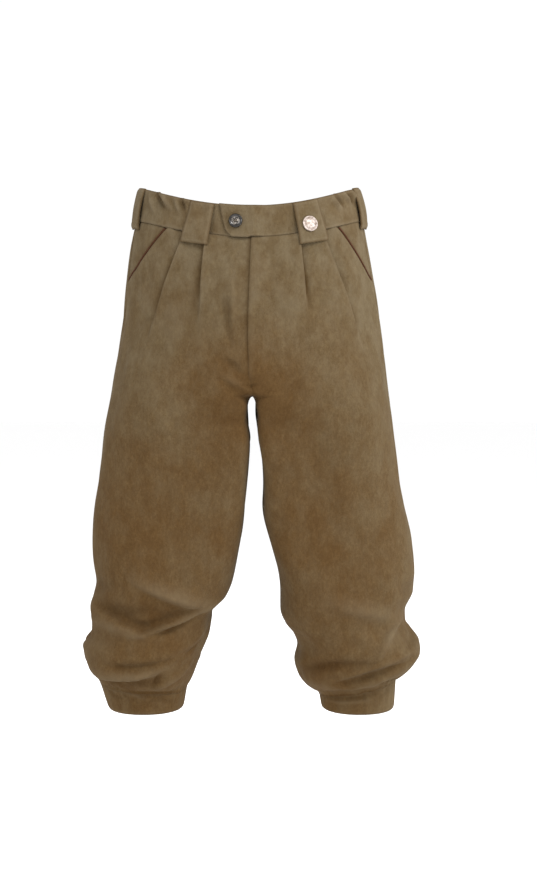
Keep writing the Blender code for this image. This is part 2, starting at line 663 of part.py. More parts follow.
def button(colour):
    """The button on the tab: a raised rim round a dished middle."""
    r = BUTTON_RADIUS
    heights = 0.0125 + r * np.array((1, 0, -1))[:, None]
    across = -0.0212 + r * np.array((-1, 0, 1))[None, :]
    across, heights = np.broadcast_arrays(across, heights)
    turns = -turn_across(LEFT, -across, heights)
    lift = BAND_PROUD + TAB_LIFT
    face = form(LEFT, turns, heights) + outward(LEFT, turns, heights) * lift
    place, facing = seat(face)
    profile = (
        (0, 0.0032),
        (0.45 * r, 0.0032),
        (0.62 * r, 0.0040),
        (0.84 * r, 0.0046),
        (0.96 * r, 0.0040),
        (r, 0.0028),
        (0.86 * r, 0.0008),
        (0.60 * r, 0),
        (0, 0),
    )
    return turned("button", profile, place, facing, colour)


def badge(colour):
    """A plain domed metal disc on the left front loop."""
    r = BADGE_RADIUS
    down = 0.545 + r / 0.066 * np.array((-1, 0, 1))[:, None]
    across = -0.0030 + r * np.array((-1, 0, 1))[None, :]
    face = loop_face("belt_loop_front_left", across, down + 0 * across, LOOP_CLOTH)
    place, facing = seat(face)
    profile = (
        (0, 0.0024),
        (0.40 * r, 0.0022),
        (0.74 * r, 0.0014),
        (0.80 * r, 0.0020),
        (0.94 * r, 0.0020),
        (r, 0.0010),
        (r, 0),
        (0, 0),
    )
    return turned("badge", profile, place, facing, colour)


def main():
    clear_scene()
    cloth = material("cloth", 0.95)
    piped = material("piping", 0.80)
    horn = material("horn", 0.25)
    metal = material("metal", 0.35, 1.0)
    for side in (RIGHT, LEFT):
        front(side, cloth)
        back(side, cloth)
        hip_piece(side, cloth)
        piping(side, piped)
        cuff(side, cloth)
    waistband_right(cloth)
    waistband_left(cloth)
    for name in LOOPS:
        belt_loop(name, cloth)
    button(horn)
    badge(metal)


main()
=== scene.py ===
# %% [markdown]
# # Knee breeches in brown moleskin
# This notebook dresses the plain, rigid model of a pair of knee breeches in real-looking cloth.
# The breeches have two pleated fronts, two backs, a waistband that closes with a buttoned tab,
# five wide belt loops, slanted pockets edged with piping, and a band at each knee. The cloth is
# moleskin: a heavy brushed cotton that looks like suede.
#
# Everything is in metres. +Z is up, +X is the wearer's left, and the front faces -Y. The origin
# is the middle of the waist.

# %% Load the fixed frame
import math

import bpy
import numpy as np
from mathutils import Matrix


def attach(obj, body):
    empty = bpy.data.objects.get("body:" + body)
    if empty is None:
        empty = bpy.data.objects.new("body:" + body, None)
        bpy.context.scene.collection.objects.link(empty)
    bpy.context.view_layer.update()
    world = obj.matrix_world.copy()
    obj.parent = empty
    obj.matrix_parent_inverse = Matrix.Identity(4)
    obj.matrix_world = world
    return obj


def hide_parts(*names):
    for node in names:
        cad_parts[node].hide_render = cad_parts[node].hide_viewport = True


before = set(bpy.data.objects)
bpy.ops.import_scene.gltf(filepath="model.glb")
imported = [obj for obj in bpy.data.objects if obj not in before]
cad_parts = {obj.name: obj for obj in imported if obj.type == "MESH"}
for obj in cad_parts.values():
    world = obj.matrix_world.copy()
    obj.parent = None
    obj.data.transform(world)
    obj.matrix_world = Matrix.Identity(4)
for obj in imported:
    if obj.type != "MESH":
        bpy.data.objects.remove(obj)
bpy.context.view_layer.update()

# %% [markdown]
# ## Camera, floor and light
# The breeches hang in the air as if a wearer held them up, a little over a pale floor. A camera
# nearly two metres away and just above the middle looks at them almost level, so the waist shows
# only its front edge. Broad light keeps the nap of the cloth soft, so five large lamps light it in
# a bright room: the key lamp above and to the right, one at the right side, a weaker one on the
# left, a faint one near the floor and one behind.

# %% Camera
camera_data = bpy.data.cameras.new("camera")
camera_data.lens = 52.4
camera_data.clip_end = 50
camera = bpy.data.objects.new("camera", camera_data)
camera.location = (0.02775, -1.9, -0.2333)
camera.rotation_euler = (math.radians(90 - 2.847), 0, 0)
bpy.context.scene.collection.objects.link(camera)
bpy.context.scene.camera = camera


# %% Lamps and room light
def lamp(name, place, aim, size, power, tint=(1.0, 1.0, 1.0)):
    """A square soft lamp at `place` that faces `aim`."""
    data = bpy.data.lights.new(name, "AREA")
    data.shape, data.size, data.energy, data.color = "SQUARE", size, power, tint
    made = bpy.data.objects.new(name, data)
    made.location = place
    way = np.array(aim, float) - np.array(place, float)
    across = math.hypot(way[0], way[1])
    made.rotation_euler = (math.atan2(across, -way[2]), 0, math.atan2(-way[0], way[1]))
    bpy.context.scene.collection.objects.link(made)
    return made


lamp("key_lamp", (1.2, -2.0, 1.9), (0, 0, -0.25), 1.1, 67, (1.0, 0.99, 0.97))
lamp("side_lamp", (2.4, -0.7, 0.5), (0, 0, -0.30), 1.4, 60)
lamp("fill_lamp", (-2.2, -1.7, 1.3), (0, 0, -0.22), 2.0, 46, (1.0, 0.98, 0.95))
lamp("low_lamp", (-0.3, -2.4, -0.85), (0, 0, -0.60), 1.2, 10)
lamp("back_lamp", (-0.6, 2.6, 1.2), (0, 0, -0.35), 2.0, 34)

world = bpy.data.worlds.new("room")
world.use_nodes = True
room = world.node_tree.nodes["Background"]
room.inputs["Color"].default_value = (1.0, 1.0, 1.0, 1.0)
room.inputs["Strength"].default_value = 1.02
bpy.context.scene.world = world
bpy.context.scene.view_settings.view_transform = "Standard"  # keeps pale things pale

# %% Pale floor
FLOOR_HEIGHT = -1.10
bpy.ops.object.select_all(action="DESELECT")
bpy.ops.mesh.primitive_plane_add(size=40, location=(0, 0, FLOOR_HEIGHT))
floor = bpy.context.active_object
floor.name = "floor"
floor_paint = bpy.data.materials.new("pale floor")
floor_paint.use_nodes = True
floor_shader = floor_paint.node_tree.nodes["Principled BSDF"]
floor_shader.inputs["Base Color"].default_value = (0.97, 0.97, 0.97, 1)
floor_shader.inputs["Roughness"].default_value = 0.9
floor.data.materials.append(floor_paint)

# %% [markdown]
# ## The sizes of the garment
# Cloth round a body is easiest to describe by its sections. A place on the breeches has three
# numbers: a side, a height, and a turn, which says how far round it is. A turn of 0 is the centre
# front or the inseam, 0.25 the front of the leg, 0.5 the outer side, 0.75 the back of the leg and
# 1 the centre back or the inseam again. Short tables give the main sections, and a smooth curve
# runs through them. The tables give the outline; pleats and folds come on top of it.

# %% Driving sizes
CLOTH, BAND_CLOTH = 0.0018, 0.0030  # how thick a panel is, and a band
SEAM_GAP = 0.0003  # between two pieces at their seam
SEAM_TURN = 0.00026  # and the same as a turn, on each side of the seam
WAIST_TOP, WAIST_SEAM = 0.0370, -0.0105  # the waistband's edges
FRONT_DROP, BACK_DROP = 0.0375, 0.0130  # how much lower the waist is at the centre front and back
DROP_ENDS = -0.220
CENTRE = 0.0035  # the centre seam stands this far to the left
FORK_TOP, CROTCH = -0.150, -0.2715  # the crotch seam sweeps under between these
FORK_BEND_FRONT, FORK_BEND_BACK = 5.0, 2.0  # how suddenly it does, in front and behind
FORK_REACH = 0.22  # turns from the seam at which the sweep no longer counts
FORK_ENDS = -0.330  # the leg has its own rounded section from here
EVEN_TURNS = -0.360  # and its turns are even about its middle from here
FULL_ENDS = -0.640  # its inner side is an ellipse, no longer squared, from here
LEG_SQUARE, INNER_SQUARE = 2.25, (6.0, 10.0)  # power of the ellipse, and what squares it inside
CUFF_SEAM, HEM = -0.7040, -0.7370  # the knee band's edges
RIGHT, LEFT = -1, 1
SIDE_WORD = {RIGHT: "right", LEFT: "left"}

# %% Sections of the body
# Columns: height, reach to the right, reach to the left, front, back.
TORSO = (
    (0.0370, 0.1650, 0.1560, 0.117, 0.116),
    (-0.0080, 0.1720, 0.1645, 0.121, 0.121),
    (-0.0500, 0.1800, 0.1715, 0.127, 0.131),
    (-0.1000, 0.1865, 0.1805, 0.131, 0.139),
    (-0.1500, 0.1910, 0.1885, 0.133, 0.143),
)

# %% Sections of the legs
# Columns: height, distance of the inner side from the centre seam, of the outer side, and how far
# the leg reaches to the front and to the back.
LEG = {
    RIGHT: (
        (-0.1500, 0.0000, 0.1910, 0.133, 0.143),
        (-0.2000, 0.0000, 0.1995, 0.132, 0.141),
        (CROTCH, 0.0000, 0.2117, 0.127, 0.134),
        (-0.2721, 0.0066, 0.2118, 0.1269, 0.1338),
        (-0.2760, 0.0063, 0.2125, 0.1265, 0.1332),
        (-0.2900, 0.0066, 0.2148, 0.125, 0.130),
        (-0.3120, 0.0062, 0.2186, 0.122, 0.125),
        (-0.3400, 0.0046, 0.2233, 0.117, 0.119),
        (-0.3960, 0.0083, 0.2305, 0.111, 0.109),
        (-0.4560, 0.0125, 0.2385, 0.107, 0.102),
        (-0.5020, 0.0205, 0.2375, 0.106, 0.098),
        (-0.5470, 0.0295, 0.2345, 0.107, 0.096),
        (-0.5650, 0.0370, 0.2375, 0.107, 0.096),
        (-0.5850, 0.0540, 0.2430, 0.104, 0.097),
        (-0.6050, 0.0610, 0.2415, 0.102, 0.100),
        (-0.6230, 0.0645, 0.2425, 0.102, 0.103),
        (-0.6420, 0.0725, 0.2540, 0.103, 0.105),
        (-0.6600, 0.0810, 0.2525, 0.101, 0.104),
        (-0.6750, 0.0855, 0.2470, 0.093, 0.100),
        (-0.6900, 0.0920, 0.2410, 0.080, 0.092),
        (CUFF_SEAM, 0.1005, 0.2290, 0.057, 0.077),
    ),
    LEFT: (
        (-0.1500, 0.0000, 0.1885, 0.133, 0.143),
        (-0.2000, 0.0000, 0.1955, 0.132, 0.141),
        (CROTCH, 0.0000, 0.2052, 0.127, 0.134),
        (-0.2721, 0.0064, 0.2053, 0.1269, 0.1338),
        (-0.2760, 0.0066, 0.2058, 0.1265, 0.1332),
        (-0.2900, 0.0066, 0.2076, 0.125, 0.130),
        (-0.3350, 0.0126, 0.2130, 0.118, 0.120),
        (-0.3960, 0.0180, 0.2195, 0.111, 0.109),
        (-0.4260, 0.0170, 0.2260, 0.109, 0.105),
        (-0.4860, 0.0275, 0.2395, 0.106, 0.099),
        (-0.5300, 0.0385, 0.2435, 0.107, 0.096),
        (-0.5600, 0.0415, 0.2400, 0.107, 0.096),
        (-0.5900, 0.0418, 0.2275, 0.104, 0.097),
        (-0.6050, 0.0465, 0.2285, 0.102, 0.100),
        (-0.6200, 0.0590, 0.2380, 0.102, 0.103),
        (-0.6400, 0.0675, 0.2500, 0.103, 0.105),
        (-0.6600, 0.0632, 0.2525, 0.101, 0.104),
        (-0.6750, 0.0680, 0.2460, 0.093, 0.100),
        (-0.6900, 0.0800, 0.2340, 0.080, 0.092),
        (CUFF_SEAM, 0.1020, 0.2160, 0.057, 0.077),
    ),
}
CUFF = {
    RIGHT: ((CUFF_SEAM, 0.1005, 0.2290, 0.057, 0.077), (HEM, 0.1045, 0.2170, 0.052, 0.072)),
    LEFT: ((CUFF_SEAM, 0.1020, 0.2160, 0.057, 0.077), (HEM, 0.1045, 0.2135, 0.052, 0.072)),
}
# The sections slope near the knee, a little lower in front. Columns: height, slope.
CUFF_TILT = ((-0.6000, 0.0), (CUFF_SEAM, 0.02), (HEM, 0.05))
CUFF_CANT = {RIGHT: 0.005, LEFT: 0.012}  # the knee seams are higher on the outer side by this


# %% [markdown]
# ## One surface for every piece
# The functions below turn a side, a turn and a height into a point of the bare surface, and give
# the direction that the cloth faces there. The body is an oval. Below the fork each leg has its
# own rounded section, and between the two the crotch seam sweeps under like a U. Every piece of
# cloth is then a patch of this one surface, so neighbours meet at their seams by themselves.

# %% Curves through the tables
def along(rows, column, at):
    """One column of a table at the heights `at`: a cubic through the rows that never overshoots."""
    table = np.array(rows, float)[::-1]
    x, y = table[:, 0], table[:, column]
    step, rise = np.diff(x), np.diff(y)
    slope = rise / step
    tangent = np.zeros(len(x))
    tangent[0], tangent[-1] = slope[0], slope[-1]
    for i in range(1, len(x) - 1):
        before, after = slope[i - 1], slope[i]
        if before * after > 0:
            tangent[i] = 2 * before * after / (before + after)
    at = np.clip(np.asarray(at, float), x[0], x[-1])
    i = np.clip(np.searchsorted(x, at) - 1, 0, len(step) - 1)
    s = (at - x[i]) / step[i]
    return (
        y[i] * (1 + 2 * s) * (1 - s) ** 2
        + y[i + 1] * (3 - 2 * s) * s**2
        + tangent[i] * step[i] * s * (1 - s) ** 2
        - tangent[i + 1] * step[i] * (1 - s) * s**2
    )


def ramp(value, start, end):
    """0 at start, 1 at end, smooth in between."""
    s = np.clip((value - start) / (end - start), 0, 1)
    return s * s * (3 - 2 * s)


# %% The body and the leg at one height
def half_width(side, height):
    """How far the body's oval reaches from the centre seam."""
    on_body = along(TORSO, {RIGHT: 1, LEFT: 2}[side], height)
    return np.where(height < FORK_TOP, along(LEG[side], 2, height), on_body)


def turn_across(side, across, height):
    """The turn at which the body's section is this far from the centre plane, in front."""
    return np.arcsin(across / half_width(side, height)) / np.pi


def leg_angle(side, turn, height, table):
    """The angle about the middle of the leg, from its inner side round by the front. In the fork
    the cloth starts at the crotch seam, which sweeps from the centre front to the inseam."""
    inner, outer, front, back = (along(table[side], i, height) for i in (1, 2, 3, 4))
    middle = (inner + outer) / 2
    oval = np.pi * turn
    depth = np.where(turn < 0.5, front, back)
    on_body = np.arctan2(depth * np.cos(oval), middle - outer * np.sin(oval)) % (2 * np.pi)
    under = np.clip((FORK_TOP - height) / (FORK_TOP - CROTCH), 0, 1)
    corner = np.arctan2(depth, middle)
    bend = np.where(turn < 0.5, FORK_BEND_FRONT, FORK_BEND_BACK)
    seam = np.arctan2(depth * (1 - under**bend) ** (1 / bend), middle)
    by_seam = 1 - ramp(np.minimum(turn % 1, 1 - turn % 1), 0, FORK_REACH)
    even = ramp(height, FORK_TOP, EVEN_TURNS)
    leg_share = by_seam * (1 - seam / corner) + (1 - by_seam) * even
    return on_body + leg_share * (2 * np.pi * turn - on_body)


def leg_section(side, angle, height, table):
    """Across and depth on the leg's section. In the fork it is the body's oval with a flat inner
    side. Below, it is a little fuller than an ellipse, and squarer inside by the crotch."""
    inner, outer, front, back = (along(table[side], i, height) for i in (1, 2, 3, 4))
    middle, half = (inner + outer) / 2, (outer - inner) / 2
    cosine, sine = np.cos(angle), np.sin(angle)
    depth = np.where(sine > 0, front, back)
    inside = np.where(cosine > 0, ramp(height, FULL_ENDS, CROTCH), 0)
    square = LEG_SQUARE + INNER_SQUARE[0] * inside + INNER_SQUARE[1] * inside**3
    round_leg = (abs(cosine / half) ** square + abs(sine / depth) ** square) ** (-1 / square)
    a = (cosine / outer) ** 2 + (sine / depth) ** 2
    b = -middle * cosine / outer**2
    c = (middle / outer) ** 2 - 1
    oval = (-b + np.sqrt(b * b - a * c)) / a
    flat = np.where(cosine > 0.01, half / np.maximum(cosine, 0.01), 9.0)
    rounding = ramp(height, FORK_TOP, FORK_ENDS)
    reach = (1 - rounding) * np.minimum(oval, flat) + rounding * round_leg
    return middle - reach * cosine, -reach * sine


def body_section(side, turn, height):
    front, back = along(TORSO, 3, height), along(TORSO, 4, height)
    across = half_width(side, height) * np.sin(np.pi * turn)
    return across, -np.where(turn < 0.5, front, back) * np.cos(np.pi * turn)


# %% A point of the surface, and the way it faces
def surface(side, turn, angle, height, table, on_leg):
    """Points of the bare surface at a turn whose angle about the leg is already known."""
    body_x, body_y = body_section(side, turn, height)
    leg_x, leg_y = leg_section(side, angle, height, table)
    x, y = np.where(on_leg, leg_x, body_x), np.where(on_leg, leg_y, body_y)
    joined = (height > CROTCH) & on_leg
    for end, near in ((0.0, 1 - ramp(turn, 0, 0.12)), (1.0, ramp(turn, 0.88, 1))):
        seam = leg_angle(side, end + 0 * turn, height, table)
        seam_x, _ = leg_section(side, seam, height, table)
        x = x - np.where(joined, seam_x * near, 0)
    level = np.cos(np.pi * turn) ** 2 * ramp(height, DROP_ENDS, WAIST_TOP)
    drop = np.where(turn < 0.5, FRONT_DROP, BACK_DROP) * level
    near_cuff = ramp(height, CUFF_TILT[0][0], CUFF_SEAM) * (1 - ramp(height, CUFF_SEAM, HEM))
    tilt = along(CUFF_TILT, 1, height) * y - CUFF_CANT[side] * near_cuff * np.cos(2 * np.pi * turn)
    return np.stack([CENTRE + side * (x + SEAM_GAP / 2), y, height - drop + tilt], axis=-1)


def form(side, turn, height, table=None):
    """Points of the bare surface, with no folds. Above the fork the two halves share the body's
    oval; below the crotch each has its leg's section."""
    turn, height = np.broadcast_arrays(np.asarray(turn, float), np.asarray(height, float))
    table = table or LEG
    angle = leg_angle(side, turn, height, table)
    return surface(side, turn, angle, height, table, height < FORK_TOP)


def outward(side, turn, height, table=None):
    """Unit normals of the bare surface."""
    turn, height = np.broadcast_arrays(np.asarray(turn, float), np.asarray(height, float))
    table, on_leg, small = table or LEG, height < FORK_TOP, 0.001
    before, after = turn - small, turn + small
    fork = (height > CROTCH) & on_leg
    before = np.where(fork, np.clip(before, 0, 1), before)
    after = np.where(fork, np.clip(after, 0, 1), after)
    ends = [
        surface(side, t, leg_angle(side, t, height, table), height, table, on_leg)
        for t in (before, after)
    ]
    angle = leg_angle(side, turn, height, table)
    rises = [surface(side, turn, angle, height + h, table, on_leg) for h in (-small, small)]
    normal = np.cross(ends[1] - ends[0], rises[1] - rises[0]) * side
    return normal / np.linalg.norm(normal, axis=-1, keepdims=True)


def per_turn(side, turn, height):
    """How many metres a whole turn is, at this place."""
    small = 0.002
    ends = form(side, turn + small, height), form(side, turn - small, height)
    return np.linalg.norm(ends[0] - ends[1], axis=-1) / (2 * small)


# %% [markdown]
# ## Pleats
# Each front has two pleats: the cloth is folded over at the waist and opens on its way down. The
# inner cloth lies over the outer cloth, so across the pleat there is a small step with a shadow
# under its edge, and a line of shade is painted there too, with a painted highlight on the edge.
# The step is tallest at the waistband and dies away at the pleat's end. A real fold tucks under
# itself, so the edge is also pushed a little over the cloth beneath.

# %% Pleats
# Columns: distance from the centre plane at the top, distance at the end, height of the end, step.
PLEATS = {
    RIGHT: ((0.063, 0.078, -0.195, 0.0056), (0.092, 0.164, -0.230, 0.0066)),
    LEFT: ((0.067, 0.080, -0.158, 0.0050), (0.097, 0.165, -0.212, 0.0080)),
}
PLEAT_OVER, PLEAT_UNDER = 0.020, 0.011  # how far the lift reaches on each side of the step
PLEAT_END_TURNS = (0.17, 0.32)
PLEAT_EDGE = 0.0011  # half the width of the rounded step
PLEAT_LEAN = 0.0016  # how far the step leans over
PLEAT_WIDENS = 2.2  # a pleat is wider at its end by this many times
PLEAT_FULL = WAIST_SEAM - 0.085  # a pleat starts to die away here
PLEAT_SOFT = {RIGHT: 2.3, LEFT: 1.2}  # the right pleats are rubbed softer
# how dark the painted shadow line under each side's pleats is
PLEAT_SHADE = {RIGHT: 1.1, LEFT: 1.5}
PLEAT_FADE = {RIGHT: 0.6, LEFT: 0.1}  # how much weaker the painted shade is right under the band


def pleat_turn(side, pleat, height):
    """The turn of a pleat's line, which runs on down the leg to the pleat's end turn."""
    across_top, across_end, end, _ = PLEATS[side][pleat]
    top_turn = turn_across(side, across_top, WAIST_SEAM)
    end_turn = turn_across(side, across_end, end)
    down = np.clip((WAIST_SEAM - height) / (WAIST_SEAM - end), 0, 1)
    line = top_turn + (end_turn - top_turn) * down
    return line + (PLEAT_END_TURNS[pleat] - end_turn) * ramp(height, end, CUFF_SEAM)


def pleat_shape(side, turn, height):
    """The lift of the pleats, how far their edges lean over the cloth beneath, the painted shadow
    line and the painted highlight on the edge: all four for each point."""
    lift, lean, line, edge = (np.zeros(np.shape(turn)) for _ in range(4))
    soft = PLEAT_SOFT[side]
    grows = 1 - PLEAT_FADE[side] * ramp(height, -0.070, WAIST_SEAM - 0.020)
    for pleat, (_, _, end, step) in enumerate(PLEATS[side]):
        off = (turn - pleat_turn(side, pleat, height)) * np.pi * half_width(side, height)
        left = 1 - ramp(height, PLEAT_FULL, end)
        spread = 1 + PLEAT_WIDENS * ramp(height, WAIST_SEAM - 0.02, end)
        over = 0.7 * np.exp(-np.maximum(-off, 0) / (PLEAT_OVER * spread))
        under = -0.6 * np.exp(-np.maximum(off, 0) / (PLEAT_UNDER * spread))
        share = ramp(off / soft**0.5, -PLEAT_EDGE * spread, PLEAT_EDGE * spread)
        lift = lift + step * left * (over * (1 - share) + under * share)
        near = np.exp(-((off / (0.0028 * spread)) ** 2))
        lean = lean + PLEAT_LEAN * left * near * (1 - 2 * share)
        # A painted shadow line under the edge of the pleat.
        shadow = off - 0.0011 * spread * soft
        dark = np.exp(-((shadow / (0.0016 * spread * soft)) ** 2)) / (spread * soft) ** 0.3
        line = line + PLEAT_SHADE[side] * left**1.7 * grows * dark
        # A painted highlight along the edge of the pleat.
        edge = edge + left * np.exp(-(((off + 0.0020) / (0.0016 * spread)) ** 2)) / spread**0.4
    return lift, lean, np.clip(line, 0, 1), edge


print("right pleats start at turns", [round(float(pleat_turn(RIGHT, i, 0)), 3) for i in (0, 1)])


# %% [markdown]
# ## Folds
# The cloth is full at the knee and drops over the band in big soft folds: long swags, bulges
# and the troughs between them. Each is one row of a table, with the curve it follows, how
# quickly it falls away above and below, and how far it rises. A swag that hangs over the cloth
# beneath falls away fast below its edge. The hidden sides have folds of the same kinds.

# %% Folds
# Columns: turn and height at the start, at the bend and at the end, width above, width below,
# rise.
FOLDS = {
    RIGHT: (
        (0.430, -0.5950, 0.310, -0.5980, 0.225, -0.6110, 0.006, 0.0130, 0.0028),
        (0.285, -0.6120, 0.215, -0.6070, 0.100, -0.5650, 0.006, 0.0050, 0.0046),
        (0.415, -0.5710, 0.320, -0.5800, 0.243, -0.6090, 0.014, 0.0052, -0.0058),
        (0.275, -0.6080, 0.235, -0.5995, 0.160, -0.5760, 0.014, 0.0050, -0.0046),
        (0.340, -0.5700, 0.265, -0.5840, 0.200, -0.5730, 0.014, 0.0120, -0.0030),
        (0.240, -0.6085, 0.197, -0.6025, 0.145, -0.5870, 0.003, 0.0055, -0.0038),
        (0.310, -0.5310, 0.230, -0.5590, 0.115, -0.5755, 0.014, 0.0060, 0.0044),
        (0.410, -0.6720, 0.225, -0.6890, 0.080, -0.6130, 0.011, 0.0052, 0.0052),
        (0.320, -0.6570, 0.215, -0.6700, 0.095, -0.6250, 0.008, 0.0070, -0.0056),
        (0.395, -0.6890, 0.290, -0.6940, 0.190, -0.6730, 0.006, 0.0130, -0.0054),
        (0.207, -0.6950, 0.200, -0.6800, 0.193, -0.6640, 0.004, 0.0040, -0.0022),
        (0.215, -0.6960, 0.160, -0.6800, 0.085, -0.6580, 0.005, 0.0045, 0.0030),
        (0.470, -0.6350, 0.420, -0.6400, 0.340, -0.6280, 0.012, 0.0120, 0.0014),
        (-0.090, -0.5920, 0.015, -0.5930, 0.120, -0.5860, 0.004, 0.0110, -0.0016),
        (-0.020, -0.2560, 0.020, -0.2555, 0.062, -0.2520, 0.004, 0.0045, -0.0013),
        (0.880, -0.5860, 0.985, -0.5930, 1.090, -0.5920, 0.004, 0.0110, -0.0016),
        (0.480, -0.5450, 0.420, -0.5500, 0.350, -0.5400, 0.016, 0.0140, -0.0026),
        (0.064, -0.1100, 0.056, -0.1400, 0.052, -0.1950, 0.006, 0.0060, -0.0024),
        (0.048, -0.0850, 0.036, -0.1200, 0.046, -0.1700, 0.006, 0.0060, 0.0014),
        (0.080, -0.2160, 0.053, -0.2240, 0.030, -0.2350, 0.008, 0.0080, -0.0022),
        (0.100, -0.2350, 0.065, -0.2480, 0.030, -0.2580, 0.009, 0.0090, 0.0018),
        (0.070, -0.2850, 0.130, -0.3050, 0.200, -0.3000, 0.020, 0.0180, -0.0022),
        (0.980, -0.5480, 0.800, -0.5660, 0.600, -0.5580, 0.015, 0.0110, -0.0055),
        (0.950, -0.5850, 0.760, -0.5960, 0.540, -0.5820, 0.013, 0.0070, 0.0060),
        (0.900, -0.6280, 0.740, -0.6360, 0.580, -0.6200, 0.011, 0.0090, -0.0055),
        (0.960, -0.6640, 0.800, -0.6720, 0.620, -0.6660, 0.010, 0.0070, 0.0042),
        (0.930, -0.6900, 0.820, -0.6860, 0.700, -0.6910, 0.006, 0.0060, -0.0030),
        (0.640, -0.5280, 0.720, -0.5380, 0.800, -0.5250, 0.014, 0.0120, 0.0030),
        (0.900, -0.3000, 0.860, -0.3300, 0.800, -0.3500, 0.016, 0.0160, -0.0030),
        (0.940, -0.2950, 0.900, -0.3300, 0.850, -0.3600, 0.014, 0.0140, 0.0024),
    ),
    LEFT: (
        (0.430, -0.5950, 0.310, -0.6110, 0.282, -0.6500, 0.004, 0.0040, 0.0026),
        (0.421, -0.5880, 0.350, -0.6080, 0.283, -0.6420, 0.011, 0.0090, 0.0016),
        (0.060, -0.6700, 0.160, -0.6440, 0.290, -0.6560, 0.008, 0.0110, -0.0048),
        (0.185, -0.6800, 0.270, -0.6800, 0.420, -0.6570, 0.013, 0.0070, -0.0050),
        (0.180, -0.6770, 0.260, -0.6600, 0.400, -0.6430, 0.006, 0.0030, 0.0022),
        (0.300, -0.6900, 0.340, -0.6930, 0.375, -0.6950, 0.004, 0.0040, -0.0030),
        (0.222, -0.6885, 0.292, -0.6850, 0.355, -0.6820, 0.009, 0.0070, 0.0014),
        (0.308, -0.6920, 0.345, -0.6970, 0.382, -0.6990, 0.006, 0.0060, -0.0022),
        (0.111, -0.6985, 0.217, -0.6960, 0.324, -0.6985, 0.005, 0.0050, -0.0026),
        (0.200, -0.5580, 0.280, -0.5790, 0.390, -0.5920, 0.014, 0.0110, 0.0028),
        (0.470, -0.6200, 0.420, -0.6280, 0.350, -0.6420, 0.010, 0.0100, -0.0022),
        (0.090, -0.6850, 0.150, -0.6800, 0.210, -0.6870, 0.008, 0.0070, 0.0010),
        (0.470, -0.5480, 0.420, -0.5560, 0.370, -0.5500, 0.016, 0.0140, -0.0022),
        (0.070, -0.2850, 0.130, -0.3080, 0.200, -0.3100, 0.020, 0.0180, -0.0018),
        (-0.020, -0.2560, 0.015, -0.2555, 0.048, -0.2520, 0.004, 0.0045, -0.0013),
        (0.045, -0.2820, 0.085, -0.2870, 0.140, -0.2990, 0.005, 0.0060, -0.0018),
        (0.970, -0.5600, 0.780, -0.5520, 0.580, -0.5700, 0.015, 0.0110, -0.0055),
        (0.940, -0.5920, 0.750, -0.5860, 0.550, -0.6040, 0.013, 0.0070, 0.0060),
        (0.920, -0.6340, 0.730, -0.6220, 0.570, -0.6380, 0.011, 0.0090, -0.0055),
        (0.960, -0.6680, 0.780, -0.6620, 0.600, -0.6720, 0.010, 0.0070, 0.0042),
        (0.900, -0.6910, 0.800, -0.6880, 0.680, -0.6930, 0.006, 0.0060, -0.0030),
        (0.620, -0.5300, 0.700, -0.5340, 0.780, -0.5300, 0.014, 0.0120, 0.0030),
        (0.910, -0.3050, 0.860, -0.3250, 0.790, -0.3550, 0.016, 0.0160, -0.0028),
        (0.940, -0.2900, 0.900, -0.3400, 0.840, -0.3700, 0.014, 0.0140, 0.0024),
    ),
}

# %% The relief of a table of folds
ROUND_LEG = 0.60  # metres to a full turn
FOLD_DEPTH, FOLD_WIDTH = 1.85, 0.85  # deepen and narrow every fold of the tables


def fold_relief(folds, turn, height):
    """The lift of all the folds in a table at each point."""
    total = np.zeros(np.shape(turn))
    s = np.linspace(0, 1, 121)
    for t0, h0, t1, h1, t2, h2, above, below, rise in folds:
        line_turn = t0 * (1 - s) ** 2 + 2 * t1 * s * (1 - s) + t2 * s**2
        line_height = h0 * (1 - s) ** 2 + 2 * h1 * s * (1 - s) + h2 * s**2
        reach = 3 * max(above, below)
        close = (height > line_height.min() - reach) & (height < line_height.max() + reach)
        close &= (turn > line_turn.min() - reach / ROUND_LEG) & (
            turn < line_turn.max() + reach / ROUND_LEG
        )
        t, h = turn[close], height[close]
        off_turn = (t[:, None] - line_turn) * ROUND_LEG
        off_height = h[:, None] - line_height
        off = np.hypot(off_turn, off_height)
        near = off.argmin(axis=-1)
        rows = np.arange(len(t))
        upward = 1 / (1 + np.exp(-off_height[rows, near] / 0.0015))
        width = (below + (above - below) * upward) * FOLD_WIDTH
        strength = np.sin(np.pi * (0.12 + 0.76 * s[near])) ** 1.5
        total[close] += rise * strength * np.exp(-((off[rows, near] / width) ** 2))
    return total * FOLD_DEPTH


def above_knee(height):
    """Folds stop short of the knee seam."""
    return ramp(height, CUFF_SEAM, CUFF_SEAM + 0.008)


print("folds:", {SIDE_WORD[side]: len(FOLDS[side]) for side in FOLDS})

# %% [markdown]
# ## Gathers and the hand of the cloth
# At the knee band the leg is gathered: the cloth is drawn up on a thread, which makes many short
# creases of uneven depth that fade upwards. Everywhere else the cloth is never quite flat, so a
# few long, shallow waves run through it. They are far too weak to see as folds, but they break up
# the light as real cloth does.

# %% Gathers and slow waves
GATHER_REACH, GATHER_RISE = 0.026, 0.0011
GATHERS_ROUND = 41
# Columns: waves to a turn, waves to a metre of height, phase, rise.
SLOW_WAVES = (
    (3.1, 2.3, 0.4, 0.00085),
    (5.3, -3.9, 2.1, 0.00065),
    (9.7, 5.1, 4.4, 0.00045),
    (14.3, 1.7, 1.3, 0.00030),
    (7.9, 11.3, 5.6, 0.00035),
    (19.1, -6.1, 3.3, 0.00018),
)


